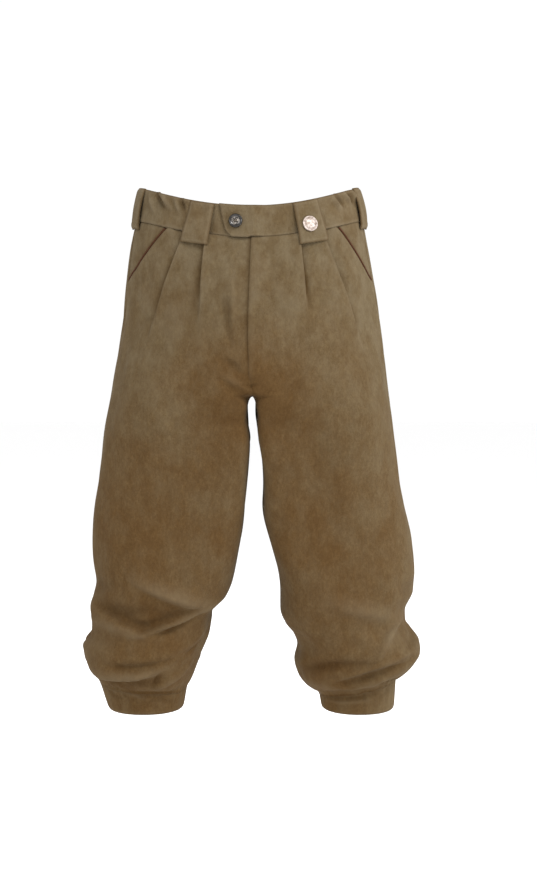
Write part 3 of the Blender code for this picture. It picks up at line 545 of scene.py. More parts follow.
def gather_relief(side, turn, height):
    """Short uneven creases above the knee seam."""
    drift = 0.35 * np.sin(2 * np.pi * 3 * turn + side) + 0.22 * np.sin(2 * np.pi * 7 * turn + 1.7)
    crease = np.sin(2 * np.pi * (GATHERS_ROUND * turn + drift * 2.2))
    uneven = 0.55 + 0.45 * np.sin(2 * np.pi * 5 * turn + 2.4 * side)
    reach = GATHER_REACH * (0.45 + 0.55 * uneven)
    rest = np.clip((height - CUFF_SEAM) / reach, 0, 1)
    return GATHER_RISE * uneven * crease * (1 - rest) ** 2


def slow_relief(side, turn, height):
    """The slight waves of cloth that hangs free. They die away towards the waistband."""
    total = np.zeros(np.shape(turn))
    for round_waves, up_waves, phase, rise in SLOW_WAVES:
        total += rise * np.sin(2 * np.pi * (round_waves * turn + up_waves * height) + phase * side)
    at_seam = ramp(np.minimum(turn, 1 - turn), 0, 0.040)
    return total * at_seam * (1 - 0.75 * ramp(height, -0.12, WAIST_SEAM))


# %% [markdown]
# ## From a flat grid to a piece of cloth
# Each piece starts as a flat grid, like cloth on a cutting table. Its points are moved onto the
# surface, then it gets a UV map in metres, so that the nap keeps its size and runs down the leg,
# and two numbers for each point: `seam`, which is 1 where shade is painted, in a seam, in a crease
# and under an edge, and the other, which is 1 on an edge that rubs and on a crest where a highlight
# is painted. A Solidify modifier then gives the cloth its thickness on the inside.

# %% Edges that turn in
# How far turned-in cloth leans over its seam for each metre it goes in: inner, outer, top edge.
CROSSING = (0.6, 0.6, 0.35)


def along_edge(distance, width):
    """1 on an edge, 0 further away than about twice the width."""
    return np.exp(-((np.maximum(distance, 0) / width) ** 2))


def turned_in(grids, points, normals, edge, depths):
    """Adds rows or columns that turn in behind a sewn edge and cross its seam, so that no light
    comes through. `edge` is 0 for the inner edge, 1 for the outer one and 2 for the top."""
    axis, last = (0, 0) if edge == 2 else (1, 0 if edge == 0 else -1)
    at_edge = np.take(points, [last], axis)
    facing = np.take(normals, [last], axis)
    past = at_edge - np.take(points, [1 if last == 0 else -2], axis)
    past = past / np.maximum(np.linalg.norm(past, axis=-1, keepdims=True), 1e-9)
    inwards = facing - CROSSING[edge] * past
    strips = [at_edge - inwards * depth for depth in depths]
    if last == 0:
        strips.reverse()
    extra = [np.take(grid, [last] * len(depths), axis) for grid in grids]
    facings = [facing] * len(depths)
    order = (lambda new, old: [*new, old]) if last == 0 else (lambda new, old: [old, *new])
    grids = [np.concatenate(order([e], g), axis) for e, g in zip(extra, grids)]
    points = np.concatenate(order(strips, points), axis)
    normals = np.concatenate(order(facings, normals), axis)
    return grids, points, normals


# %% A grid of points to a piece of cloth
def cloth_piece(name, points, uv, seam, wear_and_highlight, thickness, flip):
    """A thin shell with its outer face through a rows x columns x 3 array of points."""
    rows, columns = points.shape[:2]
    bpy.ops.object.select_all(action="DESELECT")
    bpy.ops.mesh.primitive_grid_add(
        x_subdivisions=columns - 1, y_subdivisions=rows - 1, size=1, calc_uvs=True
    )
    made = bpy.context.active_object
    made.name = made.data.name = name
    mesh = made.data
    flat = np.empty(len(mesh.vertices) * 3)
    mesh.vertices.foreach_get("co", flat)
    flat = flat.reshape(-1, 3) + 0.5
    column = np.rint(flat[:, 0] * (columns - 1)).astype(int)
    row = rows - 1 - np.rint(flat[:, 1] * (rows - 1)).astype(int)
    mesh.vertices.foreach_set("co", points[row, column].astype(np.float32).ravel())
    for title, values in (("seam", seam), ("wear_and_highlight", wear_and_highlight)):
        layer = mesh.attributes.new(title, "FLOAT", "POINT")
        layer.data.foreach_set("value", values[row, column].astype(np.float32))
    corner = np.empty(len(mesh.loops), int)
    mesh.loops.foreach_get("vertex_index", corner)
    mesh.uv_layers[0].name = "cloth"
    mesh.uv_layers[0].data.foreach_set("uv", uv[row, column][corner].astype(np.float32).ravel())
    if flip:
        mesh.flip_normals()
    mesh.shade_smooth()
    wall = made.modifiers.new("thickness", "SOLIDIFY")
    wall.thickness, wall.offset = thickness, -1
    bpy.ops.object.modifier_apply(modifier=wall.name)
    mesh.update()
    return made


def dress(piece, material, slot, *nodes):
    """Gives a finished piece its material, and its place in the frame."""
    piece.data.materials.clear()
    piece.data.materials.append(material)
    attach(piece, "root")
    if nodes:
        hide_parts(*nodes)
    return piece


# %% [markdown]
# ## The moleskin
# Moleskin is woven tight and then sheared and brushed, so it has a short dense nap like suede.
# Close up it is a mass of tiny fibre ends. Further off the nap lies this way and that in soft
# blotches, greener where it catches the light and redder where it turns away, with faint streaks
# along the warp. Lower down and near the fork the cloth is darker and redder: partly its own tone
# where the breeches rub most, partly painted shade. One node group makes those scales of change,
# and the cloth material gives it its colours. The point attribute `seam` paints shade in seams,
# where the nap is also crushed, in the troughs of folds and under edges, and a spot of painted
# shade darkens the top of the gap between the legs. The second attribute makes the edges that rub
# paler and paints highlights on the crests of folds.


# %% Small helpers for nodes
def link(tree, out, into):
    tree.links.new(out, into)


def new_node(tree, kind, **values):
    """A node with some of its properties or input values set by name."""
    made = tree.nodes.new(kind)
    for key, value in values.items():
        if hasattr(made, key):
            setattr(made, key, value)
        else:
            made.inputs[key.replace("_", " ")].default_value = value
    return made


def new_material(title, **values):
    """A material with some of its shader's inputs set: itself, its node tree and its shader."""
    made = bpy.data.materials.new(title)
    made.use_nodes = True
    shader = made.node_tree.nodes["Principled BSDF"]
    for key, value in values.items():
        shader.inputs[key.replace("_", " ")].default_value = value
    return made, made.node_tree, shader


def noise(tree, vector, scale, detail=2.0, roughness=0.5):
    made = new_node(
        tree, "ShaderNodeTexNoise", Scale=scale, Detail=detail, Roughness=roughness
    )
    link(tree, vector, made.inputs["Vector"])
    return made.outputs["Fac"]


def spread(tree, value, low, high, to_low=0.0, to_high=1.0):
    """Stretches a noise's middle range to a full range, clamped."""
    limits = {"From_Min": low, "From_Max": high, "To_Min": to_low, "To_Max": to_high}
    made = new_node(tree, "ShaderNodeMapRange", clamp=True, **limits)
    link(tree, value, made.inputs["Value"])
    return made.outputs["Result"]


def feed(tree, values, sockets):
    """Links or sets each socket: a value is another node's output, or a number or colour."""
    for value, socket in zip(values, sockets):
        if hasattr(value, "is_output"):
            link(tree, value, socket)
        else:
            socket.default_value = value


def blend_colours(tree, share, first, second, way="MIX"):
    made = new_node(tree, "ShaderNodeMix", data_type="RGBA", blend_type=way)
    feed(tree, (share, first, second), (made.inputs[i] for i in (0, 6, 7)))  # the colour sockets
    return made.outputs[2]


def arithmetic(tree, way, first, second):
    made = new_node(tree, "ShaderNodeMath", operation=way)
    feed(tree, (first, second), made.inputs)
    return made.outputs[0]


def grained(title, grain, limits, colours, **values):
    """A material that goes from one colour to another with a fine noise. Gives back the material,
    its tree, its shader and the noise."""
    made, tree, shader = new_material(title, **values)
    place = new_node(tree, "ShaderNodeTexCoord")
    share = spread(tree, noise(tree, place.outputs["Object"], *grain), *limits)
    link(tree, blend_colours(tree, share, *colours), shader.inputs["Base Color"])
    return made, tree, shader, share


# %% Nap: the node group of the cloth
SHADE_TINT = (0.46, 0.34, 0.19, 1)  # painted shade: the nap's colour is multiplied by this in seams, creases and lines of shade
FORK_FRONT = (CENTRE, -0.105, -0.262)  # the top of the gap between the legs, in front


def make_nap_group():
    group = bpy.data.node_groups.new("brushed nap", "ShaderNodeTree")
    face = group.interface
    for title in ("Place", "Weave"):
        face.new_socket(title, in_out="INPUT", socket_type="NodeSocketVector")
    for title in ("Lit", "Shaded", "Warm", "Pale_Nap"):
        face.new_socket(title, in_out="INPUT", socket_type="NodeSocketColor")
    face.new_socket("Seam", in_out="INPUT", socket_type="NodeSocketFloat")
    face.new_socket("Wear_And_Highlight", in_out="INPUT", socket_type="NodeSocketFloat")
    face.new_socket("Colour", in_out="OUTPUT", socket_type="NodeSocketColor")
    face.new_socket("Roughness", in_out="OUTPUT", socket_type="NodeSocketFloat")
    face.new_socket("Height", in_out="OUTPUT", socket_type="NodeSocketFloat")
    got = group.nodes.new("NodeGroupInput")
    put = group.nodes.new("NodeGroupOutput")
    place, lit, shaded, warm, pale_nap = (
        got.outputs[title] for title in ("Place", "Lit", "Shaded", "Warm", "Pale_Nap")
    )

    warp = new_node(group, "ShaderNodeMapping", Scale=(1.0, 0.16, 1.0))
    link(group, got.outputs["Weave"], warp.inputs["Vector"])
    tall = new_node(group, "ShaderNodeMapping", Scale=(1.0, 1.0, 0.65))
    link(group, place, tall.inputs["Vector"])
    parts = new_node(group, "ShaderNodeSeparateXYZ")
    link(group, place, parts.inputs[0])

    clouds = spread(group, noise(group, place, 9, 3, 0.6), 0.38, 0.62)
    patches = spread(group, noise(group, tall.outputs[0], 40, 4, 0.66), 0.38, 0.62)
    blotches = spread(group, noise(group, tall.outputs[0], 120, 4, 0.70), 0.36, 0.64)
    specks = spread(group, noise(group, tall.outputs[0], 300, 4, 0.75), 0.36, 0.64)
    streaks = spread(group, noise(group, warp.outputs[0], 360, 2, 0.5), 0.32, 0.68)
    fibres = spread(group, noise(group, place, 1150, 3, 0.7), 0.30, 0.70)
    # Darker and redder lower down: partly the cloth's own tone, partly painted shade of the light
    # from above.
    low_down = spread(group, parts.outputs["Z"], -0.10, -0.46, 0.0, 0.66)
    dusty = spread(group, parts.outputs["Z"], -0.30, -0.05, 0.09, 0.30)
    fork = new_node(group, "ShaderNodeVectorMath", operation="DISTANCE")
    link(group, place, fork.inputs[0])
    fork.inputs[1].default_value = FORK_FRONT
    # Darker and redder near the fork: partly rubbed cloth, partly painted shade of the gap between
    # the legs.
    fork_shade_and_rub = spread(group, fork.outputs["Value"], 0.020, 0.115, 0.75, 0.0)

    fuzzy = blend_colours(group, spread(group, blotches, 0, 1, 0.18, 0.82), shaded, lit)
    for share, colour in (
        (spread(group, streaks, 0, 1, 0.0, 0.30), lit),
        (spread(group, specks, 0, 1, 0.0, 0.75), shaded),
        (spread(group, fibres, 0, 1, 0.0, 0.32), pale_nap),
        (arithmetic(group, "MULTIPLY", patches, dusty), pale_nap),
    ):
        fuzzy = blend_colours(group, share, fuzzy, colour)
    warmth = arithmetic(group, "ADD", spread(group, clouds, 0, 1, 0.00, 0.26), low_down)
    warmth = arithmetic(group, "ADD", warmth, spread(group, patches, 0, 1, 0.16, -0.08))
    # Paler and less red towards the outer side of the left leg, which faces the lamps: partly
    # painted light, partly the cloth's own tone.
    far_left = spread(group, parts.outputs["X"], 0.13, 0.23, 0.0, -0.30)
    warmth = arithmetic(group, "ADD", warmth, far_left)
    warmth = spread(group, arithmetic(group, "ADD", warmth, fork_shade_and_rub), 0, 1)
    redder = blend_colours(group, 1.0, fuzzy, warm, "MULTIPLY")
    fuzzy = blend_colours(group, warmth, fuzzy, redder)
    # Paler on edges that rub, and on the crests of folds and pleats, where a highlight is painted.
    wear_and_highlight = arithmetic(group, "MULTIPLY", got.outputs["Wear_And_Highlight"], 0.46)
    rubbed_and_highlit = blend_colours(group, wear_and_highlight, fuzzy, pale_nap)
    dark = blend_colours(group, 1.0, rubbed_and_highlit, SHADE_TINT, "MULTIPLY")
    # Painted shade: in seams, creases and lines of shade, and a spot at the top of the gap between
    # the legs.
    in_shade = arithmetic(
        group,
        "MAXIMUM",
        arithmetic(group, "MULTIPLY", got.outputs["Seam"], 0.80),
        spread(group, fork.outputs["Value"], 0.018, 0.042, 0.36, 0.0),
    )
    link(group, blend_colours(group, in_shade, rubbed_and_highlit, dark), put.inputs["Colour"])
    link(group, spread(group, fibres, 0, 1, 0.86, 1.0), put.inputs["Roughness"])
    coarse = arithmetic(group, "MULTIPLY", specks, 0.6)
    fine = arithmetic(group, "MULTIPLY", fibres, 0.4)
    link(group, arithmetic(group, "ADD", coarse, fine), put.inputs["Height"])
    return group


nap_group = make_nap_group()
print("nap group inputs:", [s.name for s in nap_group.interface.items_tree][:8])


# %% Moleskin, for every cloth piece
def cloth_material(name, lit, shaded, warm, pale_nap):
    made, tree, shader = new_material(
        name,
        Specular_IOR_Level=0.02,
        Sheen_Weight=0.05,
        Sheen_Roughness=0.50,
        Sheen_Tint=(0.80, 0.70, 0.54, 1),
    )
    nap = new_node(tree, "ShaderNodeGroup")
    nap.node_tree = nap_group
    place = new_node(tree, "ShaderNodeTexCoord")
    link(tree, place.outputs["Object"], nap.inputs["Place"])
    weave = new_node(tree, "ShaderNodeUVMap", uv_map="cloth")
    link(tree, weave.outputs["UV"], nap.inputs["Weave"])
    for title, colour in (("Lit", lit), ("Shaded", shaded), ("Warm", warm), ("Pale_Nap", pale_nap)):
        nap.inputs[title].default_value = (*colour, 1)
    for title in ("seam", "wear_and_highlight"):
        layer = new_node(tree, "ShaderNodeAttribute", attribute_name=title)
        link(tree, layer.outputs["Fac"], nap.inputs[title.title()])
    link(tree, nap.outputs["Colour"], shader.inputs["Base Color"])
    link(tree, nap.outputs["Roughness"], shader.inputs["Roughness"])
    bump = new_node(tree, "ShaderNodeBump", Strength=0.50, Distance=0.0006)
    link(tree, nap.outputs["Height"], bump.inputs["Height"])
    link(tree, bump.outputs["Normal"], shader.inputs["Normal"])
    return made


moleskin = cloth_material(
    "moleskin",
    lit=(0.093, 0.069, 0.035),
    shaded=(0.051, 0.033, 0.014),
    warm=(0.79, 0.61, 0.43),
    # the pale colour of worn nap, also used for the painted highlights on crests
    pale_nap=(0.140, 0.112, 0.074),
)
print("moleskin has", len(moleskin.node_tree.nodes), "nodes")

# %% [markdown]
# ## Fronts and backs
# A front runs from the centre seam to the side seam, except beside the pocket, where it stops at
# the slanted mouth. A back runs from the side seam to the centre back seam. Every edge that is
# sewn rolls down into its seam, which with the shade painted beside it makes a seam show as a fine
# dark line, and goes on behind its neighbour, so that no light comes through. The left front lies
# over the right one at the fly. The columns of a front crowd together at the two pleats, so that
# the small steps are crisp.

# %% Seams, pocket mouths and the fly
# Columns: height, turn.
SIDE_SEAM = (
    (WAIST_SEAM, 0.440),
    (-0.105, 0.425),
    (-0.150, 0.458),
    (-0.200, 0.490),
    (-0.300, 0.500),
    (HEM, 0.500),
)
MOUTH_TOP = {RIGHT: 0.119, LEFT: 0.121}  # how far out a pocket mouth starts
MOUTH_END = -0.103
MOUTH_LIFT, MOUTH_FADE = 0.0018, 0.045  # the front stands up beside its mouth, and over how far
MOUTH_SINK, HIP_SINK, HIP_UNDERLAP = 0.0008, 0.0030, 0.016  # and the hip piece lies lower
FLY_END, FLY_LIFT, FLY_FADE = -0.237, 0.0024, 0.060
FLY_OVER, FLY_UNDER = 0.0048, 0.0052  # how far the fronts pass each other at the fly
FLY_SWAY, FLY_FULL = 0.030, 0.15  # turns over which that dies away, and where it is at its full
FLY_COVER = (0.0043, 0.0031)  # what the left front covers at the waist, and how much more below
LAP_END = -0.268  # below the fly the fronts still lap a little
SEAM_ROLL, ROLL_WIDTH = 0.0013, 0.0020  # how deep a sewn edge rolls in, and how wide the roll is
# how wide the painted shade beside a sewn edge is
SHADE_WIDTH = 0.0022
TURNED_IN = (0.0012, 0.0036)  # how far the allowance goes in behind a seam
FREE_DEPTH = 0.0002  # and behind the fly's edge, which isn't sewn
FULL_RIDGE = 0.007  # a fold this high gets the full painted highlight, and one this deep the full painted shade


def mouth_turn(side, height):
    """The turn of the pocket mouth's line, from the waistband seam to the side seam."""
    end_turn = along(SIDE_SEAM, 1, MOUTH_END)
    end = half_width(side, MOUTH_END) * np.sin(np.pi * end_turn)
    down = np.clip((WAIST_SEAM - height) / (WAIST_SEAM - MOUTH_END), 0, 1)
    across = MOUTH_TOP[side] + (end - MOUTH_TOP[side]) * down**0.93
    return turn_across(side, across, np.maximum(height, MOUTH_END))


def front_edge(side, height):
    """The outer edge of a front: the pocket mouth, and below it the side seam."""
    seam = along(SIDE_SEAM, 1, height)
    return np.where(height > MOUTH_END, mouth_turn(side, height), seam) - SEAM_TURN


# %% Rows and columns of the panels
def panel_rows():
    """Heights from the waistband seam to the knee seam, about 2.6 mm apart, closer where the
    crotch seam sweeps under."""
    hip = np.linspace(WAIST_SEAM - SEAM_GAP, FORK_TOP, 54)
    s = np.linspace(0, 1, 66)[1:]
    fork = FORK_TOP - (FORK_TOP - CROTCH) * (1 - (1 - s) ** 2.3)
    below = CROTCH + (-0.300 - CROTCH) * np.linspace(0, 1, 15)[1:] ** 1.7
    leg = np.linspace(-0.300, CUFF_SEAM + 0.0055, 155)[1:]
    return np.concatenate([hip, fork, below, leg])


def front_columns(side, heights):
    """Turns across a front for each row: even runs between the pleats, crowded at each pleat."""
    shares = np.cumsum([0, 44, 9, 26, 9, 46]) / 134
    u = np.linspace(0, 1, 135)
    rows = []
    for height in heights:
        beside = 0.0042 + 0.020 * float(ramp(height, -0.180, -0.330))
        inner, outer = (float(pleat_turn(side, i, height)) for i in (0, 1))
        edge = float(front_edge(side, height))
        outer = min(outer, edge - 0.035)
        stops = (SEAM_TURN, inner - beside, inner + beside, outer - beside, outer + beside, edge)
        rows.append(np.interp(u, shares, stops))
    return np.array(rows)


# %% [markdown]
# ## The knee and the gap between the legs
# The last rows of a leg droop over the knee band in small waves. Between the legs the gap is so
# narrow that every millimetre shows: the front corner of each leg is filled out below the crotch,
# and the right leg's cloth slants, which leaves the gap narrow in front and wider behind. The top
# of the gap is drawn up a little, and the change from body to leg is smoothed there.

# %% Droop over the knee band
# Columns: height above the knee seam, how far out.
KNEE_DROOP = (
    (0.0036, 0.0042),
    (0.0022, 0.0030),
    (0.0008, 0.0022),
    (-0.0006, 0.0018),
    (-0.0014, 0.0014),
)
DROOP = {RIGHT: 0.5, LEFT: 1.0}  # the share of that lift on each side
DROOP_WAVE = 0.0009
DROOP_SHADE = {RIGHT: 0.20, LEFT: 0.45}  # how dark the painted shade on its last three rows is


def drooped(side, turns):
    """The rows of a panel that droop over the knee band: points, and the way they face."""
    heights, lifts = np.array(KNEE_DROOP).T[:, :, None]
    wavy = DROOP_WAVE * np.sin(2 * np.pi * (5 * turns + 0.6 * np.sin(2 * np.pi * 3 * turns + side)))
    at = CUFF_SEAM + heights + wavy
    lifts = lifts * DROOP[side]
    lifts = lifts + 0.5 * (GATHER_RISE + gather_relief(side, turns, at))
    normals = outward(side, turns + 0 * at, at, CUFF)
    return form(side, turns + 0 * at, at, CUFF) + normals * lifts[..., None], normals


# %% Between the legs
INNER_FILL = {RIGHT: 0.0064, LEFT: 0.0049}  # how far the front corner is filled out
FILL_STARTS, FILL_FULL = CROTCH + 0.034, CROTCH - 0.003  # from which height, on the way down
FILL_FADES, FILL_ENDS = -0.320, -0.420
FILL_BACK, FILL_FRONT = -0.050, -0.112  # none of it behind the first, all in front of the second
INNER_SLANT, INNER_SHIFT = 0.034, 0.0016  # the right leg's slant for each metre, and its shift
SLANT_STARTS, SLANT_ENDS = (CROTCH + 0.003, CROTCH - 0.005), (-0.500, -0.400)
INSEAM_REACH = (0.04, 0.18)  # turns from the inseam between which these die away
CROTCH_RISE, CROTCH_WIDTH = 0.0040, 0.012
EASE_WIDTH, EASE_ROUNDS, EASE_SHARE = 0.014, 40, 0.8


def between_legs(side, points, turns, heights):
    """Shapes the cloth beside the inseam."""
    by_inseam = 1 - ramp(np.minimum(turns, 1 - turns), *INSEAM_REACH)
    if side == RIGHT:
        low = ramp(heights, *SLANT_STARTS) * ramp(heights, *SLANT_ENDS)
        points[..., 0] -= (INNER_SLANT * points[..., 1] + INNER_SHIFT) * low * by_inseam
    low = ramp(heights, FILL_STARTS, FILL_FULL) * ramp(heights, FILL_ENDS, FILL_FADES)
    fill = INNER_FILL[side] * ramp(points[..., 1], FILL_BACK, FILL_FRONT)
    points[..., 0] -= side * fill * low * by_inseam
    top = np.exp(-(((heights - CROTCH) / CROTCH_WIDTH) ** 2))
    points[..., 2] += CROTCH_RISE * top * by_inseam
    return points


def eased(points, turns, heights):
    """Smooths the change from body to leg at the crotch, except on the seams."""
    near = np.exp(-(((heights - CROTCH) / EASE_WIDTH) ** 2))
    inward = np.minimum(turns, 1 - turns)
    away = ramp(inward, 0.030, 0.110) * (1 - ramp(inward, 0.30, 0.42))
    share = (near * away)[1:-1, :, None] * EASE_SHARE
    for _ in range(EASE_ROUNDS):
        between = (points[:-2] + points[2:]) / 2
        points[1:-1] += (between - points[1:-1]) * share
    return points


# %% One panel
def seamed(side, grids, points, normals, over, sewn, at_centre_back, high_rows):
    """Turns in the inner, outer and top edges that are sewn. The left front's free edge at the fly
    turns in hardly at all, and the allowance of the centre back seam crosses the centre."""
    for edge in range(3):
        if np.max(sewn[edge]) <= 0.1:
            continue
        depths = [depth * np.ones((1, 1, 1)) for depth in TURNED_IN]
        if edge == 0 and side == LEFT and np.max(over[0]) > 0:
            free = np.concatenate([over[0][:, 0] > 0.0002, [False] * len(KNEE_DROOP)])
            depths = [np.where(free, FREE_DEPTH, d)[:, None, None] for d in TURNED_IN]
        grids, points, normals = turned_in(grids, points, normals, edge, depths)
        if edge == 1 and at_centre_back:
            high = (np.arange(len(points)) < high_rows)[:, None]
            reach = side * (points[:, -len(depths) :, 0] - CENTRE)
            reach = np.where(high, np.minimum(reach, -SEAM_GAP), reach)
            points[:, -len(depths) :, 0] = CENTRE + side * reach
    return grids, points


def panel(name, side, turns, heights, lift, sewn, lean=0, over=(0, 0), line=0, ridge=0):
    """Cloth from a grid of turns and heights. `sewn` says how far its inner, outer and top edges
    roll into a seam and how much shade is painted beside them, `over` moves points to the front and
    to the right, `line` is a line of painted shade, and `ridge` is 1 on the crest of a fold, where
    a highlight is painted, and -1 in a trough, where shade is painted."""
    width = per_turn(side, turns, heights)
    distances = (
        (turns - turns[:, :1]) * width,
        (turns[:, -1:] - turns) * width,
        heights[:1] - heights,
    )
    shares = [along_edge(d, ROLL_WIDTH) * s for d, s in zip(distances, sewn)]
    lift = lift - SEAM_ROLL * np.minimum(sum(shares), 1.2)
    # Painted shade beside the sewn edges.
    shade = sum(along_edge(d, SHADE_WIDTH) * s for d, s in zip(distances, sewn))
    moved = turns + lean / width
    normals = outward(side, moved, heights)
    points = form(side, moved, heights) + normals * lift[..., None]
    points[..., 1] -= over[0]
    points[..., 0] -= over[1]
    points = eased(between_legs(side, points, turns, heights), turns, heights)
    uv = np.stack([turns * ROUND_LEG + 2.0 * side, heights + 3.0], axis=-1)
    # Painted shade: beside sewn edges, along lines of shade and in the troughs of folds.
    seam = np.clip(np.maximum(0.7 * shade, line) + 0.50 * np.maximum(-ridge, 0), 0, 1)
    # Edges that rub are paler, and a highlight is painted on the crests of folds.
    wear_and_highlight = sum(along_edge(d - 0.004, 0.004) for d in distances) * 0.15
    wear_and_highlight = np.clip(wear_and_highlight + 0.55 * np.maximum(ridge, 0), 0, 1)
    grids = [uv, seam, wear_and_highlight]
    if heights[-1, 0] < CUFF_SEAM + 0.010:
        ends, facing = drooped(side, turns[-1])
        points, normals = np.concatenate([points, ends]), np.concatenate([normals, facing])
        grids = [np.concatenate([g, g[[-1] * len(ends)]]) for g in grids]
        # Painted shade on the last rows, under the droop.
        grids[1][-3:] = DROOP_SHADE[side]
    at_centre_back, high_rows = turns[0, -1] > 0.9, np.sum(heights[:, 0] > CROTCH)
    grids, points = seamed(side, grids, points, normals, over, sewn, at_centre_back, high_rows)
    piece = cloth_piece(name + "_cloth", points, *grids, CLOTH, side == RIGHT)
    return dress(piece, moleskin, "cloth", name)


# %% The fly, and a front
def lap(side, turns, heights, line):
    """How far a front's inner edge comes forward and to the right at the fly, and its line of
    painted shade, to which the right front adds a painted shadow of the left one's edge."""
    over = np.zeros((2, *turns.shape))
    widens = np.clip((WAIST_SEAM - heights) / FLY_FULL, 0, 1) ** 0.8
    fades = 1 - ramp(turns, 0, FLY_SWAY)
    if side == RIGHT:
        over[1] = -FLY_UNDER * ramp(heights, LAP_END - 0.002, LAP_END + 0.010) * fades
        covered = FLY_COVER[0] + FLY_COVER[1] * widens
        beside = (turns - turns[:, :1]) * per_turn(side, turns, heights) - covered
        # A painted shadow that the left front's edge casts on the right front.
        lap_shadow = np.exp(-((beside / 0.0024) ** 2)) * ramp(heights, FLY_END, FLY_END + 0.05)
        line = np.maximum(line, 0.60 * lap_shadow)
    else:
        proud = 0.70 * ramp(heights, FLY_END - 0.012, FLY_END + 0.001)
        proud = proud + 0.30 * ramp(heights, LAP_END - 0.004, LAP_END + 0.004)
        over[0] = FLY_LIFT * (1 - ramp(turns, 0, FLY_FADE)) * proud
        across = ramp(heights, LAP_END + 0.002, LAP_END + 0.012) * widens
        over[1] = FLY_OVER * across * fades
    return over, line


def make_front(side):
    rows = panel_rows()
    turns = front_columns(side, rows)
    heights = np.repeat(rows[:, None], turns.shape[1], axis=1)
    pleats, lean, line, edge = pleat_shape(side, turns, heights)
    folds = fold_relief(FOLDS[side], turns, heights) * above_knee(heights)
    lift = pleats + folds + gather_relief(side, turns, heights) + slow_relief(side, turns, heights)
    mouth = mouth_turn(side, heights)
    near = ramp(turns, mouth - MOUTH_FADE, mouth) * ramp(heights, MOUTH_END - 0.030, MOUTH_END)
    lift = lift + MOUTH_LIFT * near
    over, line = lap(side, turns, heights, line)
    free = ramp(heights, FLY_END - 0.004, FLY_END + 0.004)
    plain = ramp(heights, CROTCH - 0.01, CROTCH + 0.01) * 0.80  # the seam is flat in the fork
    inner = (1 - plain) * (1 - free) + (0.45 * free if side == LEFT else 0)
    outer = np.where(heights > MOUTH_END, 0.75, 1.0)
    sewn = (inner, outer, 0.16)
    # Fold crests and pleat edges get a painted highlight, and troughs painted shade.
    ridge = np.clip(folds / FULL_RIDGE, -1, 1) + edge
    name = f"front_{SIDE_WORD[side]}"
    return panel(name, side, turns, heights, lift, sewn, lean, over, line, ridge)


# %% A back, and the hip piece behind a pocket mouth
def make_back(side):
    rows = panel_rows()
    seam = along(SIDE_SEAM, 1, rows)
    share = np.linspace(0, 1, 130)
    turns = seam[:, None] + SEAM_TURN + (1 - 2 * SEAM_TURN - seam)[:, None] * share
    heights = np.repeat(rows[:, None], turns.shape[1], axis=1)
    folds = fold_relief(FOLDS[side], turns, heights) * above_knee(heights)
    lift = folds + gather_relief(side, turns, heights) + slow_relief(side, turns, heights)
    ridge = np.clip(folds / FULL_RIDGE, -1, 1)
    name = f"back_{SIDE_WORD[side]}"
    return panel(name, side, turns, heights, lift, (1, 1, 0.25), ridge=ridge)


def make_facing(side):
    rows = np.linspace(WAIST_SEAM - SEAM_GAP, MOUTH_END + 0.0030, 38)
    start = mouth_turn(side, rows) - HIP_UNDERLAP
    end = along(SIDE_SEAM, 1, rows) - SEAM_TURN
    turns = start[:, None] + (end - start)[:, None] * np.linspace(0, 1, 30)
    heights = np.repeat(rows[:, None], turns.shape[1], axis=1)
    mouth = mouth_turn(side, heights)
    lift = -MOUTH_SINK * (1 - ramp(turns, mouth, mouth + MOUTH_FADE))
    lift = lift - HIP_SINK * (1 - ramp(turns, mouth - HIP_UNDERLAP, mouth + 0.012))
    lift = lift + slow_relief(side, turns, heights)
    # Painted shade in the pocket mouth, on the hip piece behind it.
    line = 1.1 * along_edge((turns - mouth) * per_turn(side, turns, heights), 0.0065)
    name = f"pocket_facing_{SIDE_WORD[side]}"
    return panel(name, side, turns, heights, lift, (0, 1, 0.25), line=line)


# %% Sew on the panels
fronts = {side: make_front(side) for side in (RIGHT, LEFT)}
backs = {side: make_back(side) for side in (RIGHT, LEFT)}
facings = {side: make_facing(side) for side in (RIGHT, LEFT)}
for piece in (*fronts.values(), *backs.values(), *facings.values()):
    print(piece.name, len(piece.data.polygons), "faces")

# %% [markdown]
# ## Waistband and knee bands
# A band is two layers with a stiffening between them, so it is thicker and flatter than the
# panels and its top edge is a rounded fold. The waistband is cut in two halves that meet at the
# centre back. The left half runs on past the centre front as a tab with a slanted end and one
# cut corner, which is buttoned over the right half. Between the loops the band puckers a little,
# where the weight of the cloth pulls on it. A knee band closes round the leg below the gathers.

# %% Band sizes
TAB_LENGTH, TAB_CORNER, TAB_SLANT = 0.0425, 0.0120, 0.0060
TAB_LIFT, TAB_SAG = 0.0042, 0.002  # it lies over the right half, and hangs a little lower
BAND_PROUD, EDGE_ROLL = 0.0008, 0.0011  # how far a band stands out, and how deep its edges roll
BAND_EDGE, BAND_SHADE = 0.0017, 0.0016  # how wide the roll is, and the painted shade beside it
TAB_ROLL, ROLL_LOST = 0.35, 0.32  # the left half's lower edge rolls less beyond the front loop
# BAND_RIDGE: a pucker this high gets the full painted highlight, and one this deep the full painted
# shade.
WAIST_FOLD_DEPTH, BAND_RIDGE = 1.45, 0.0022
WAIST_WEAR, CUFF_WEAR = 0.5, 0.2
BAND_ROWS = 20
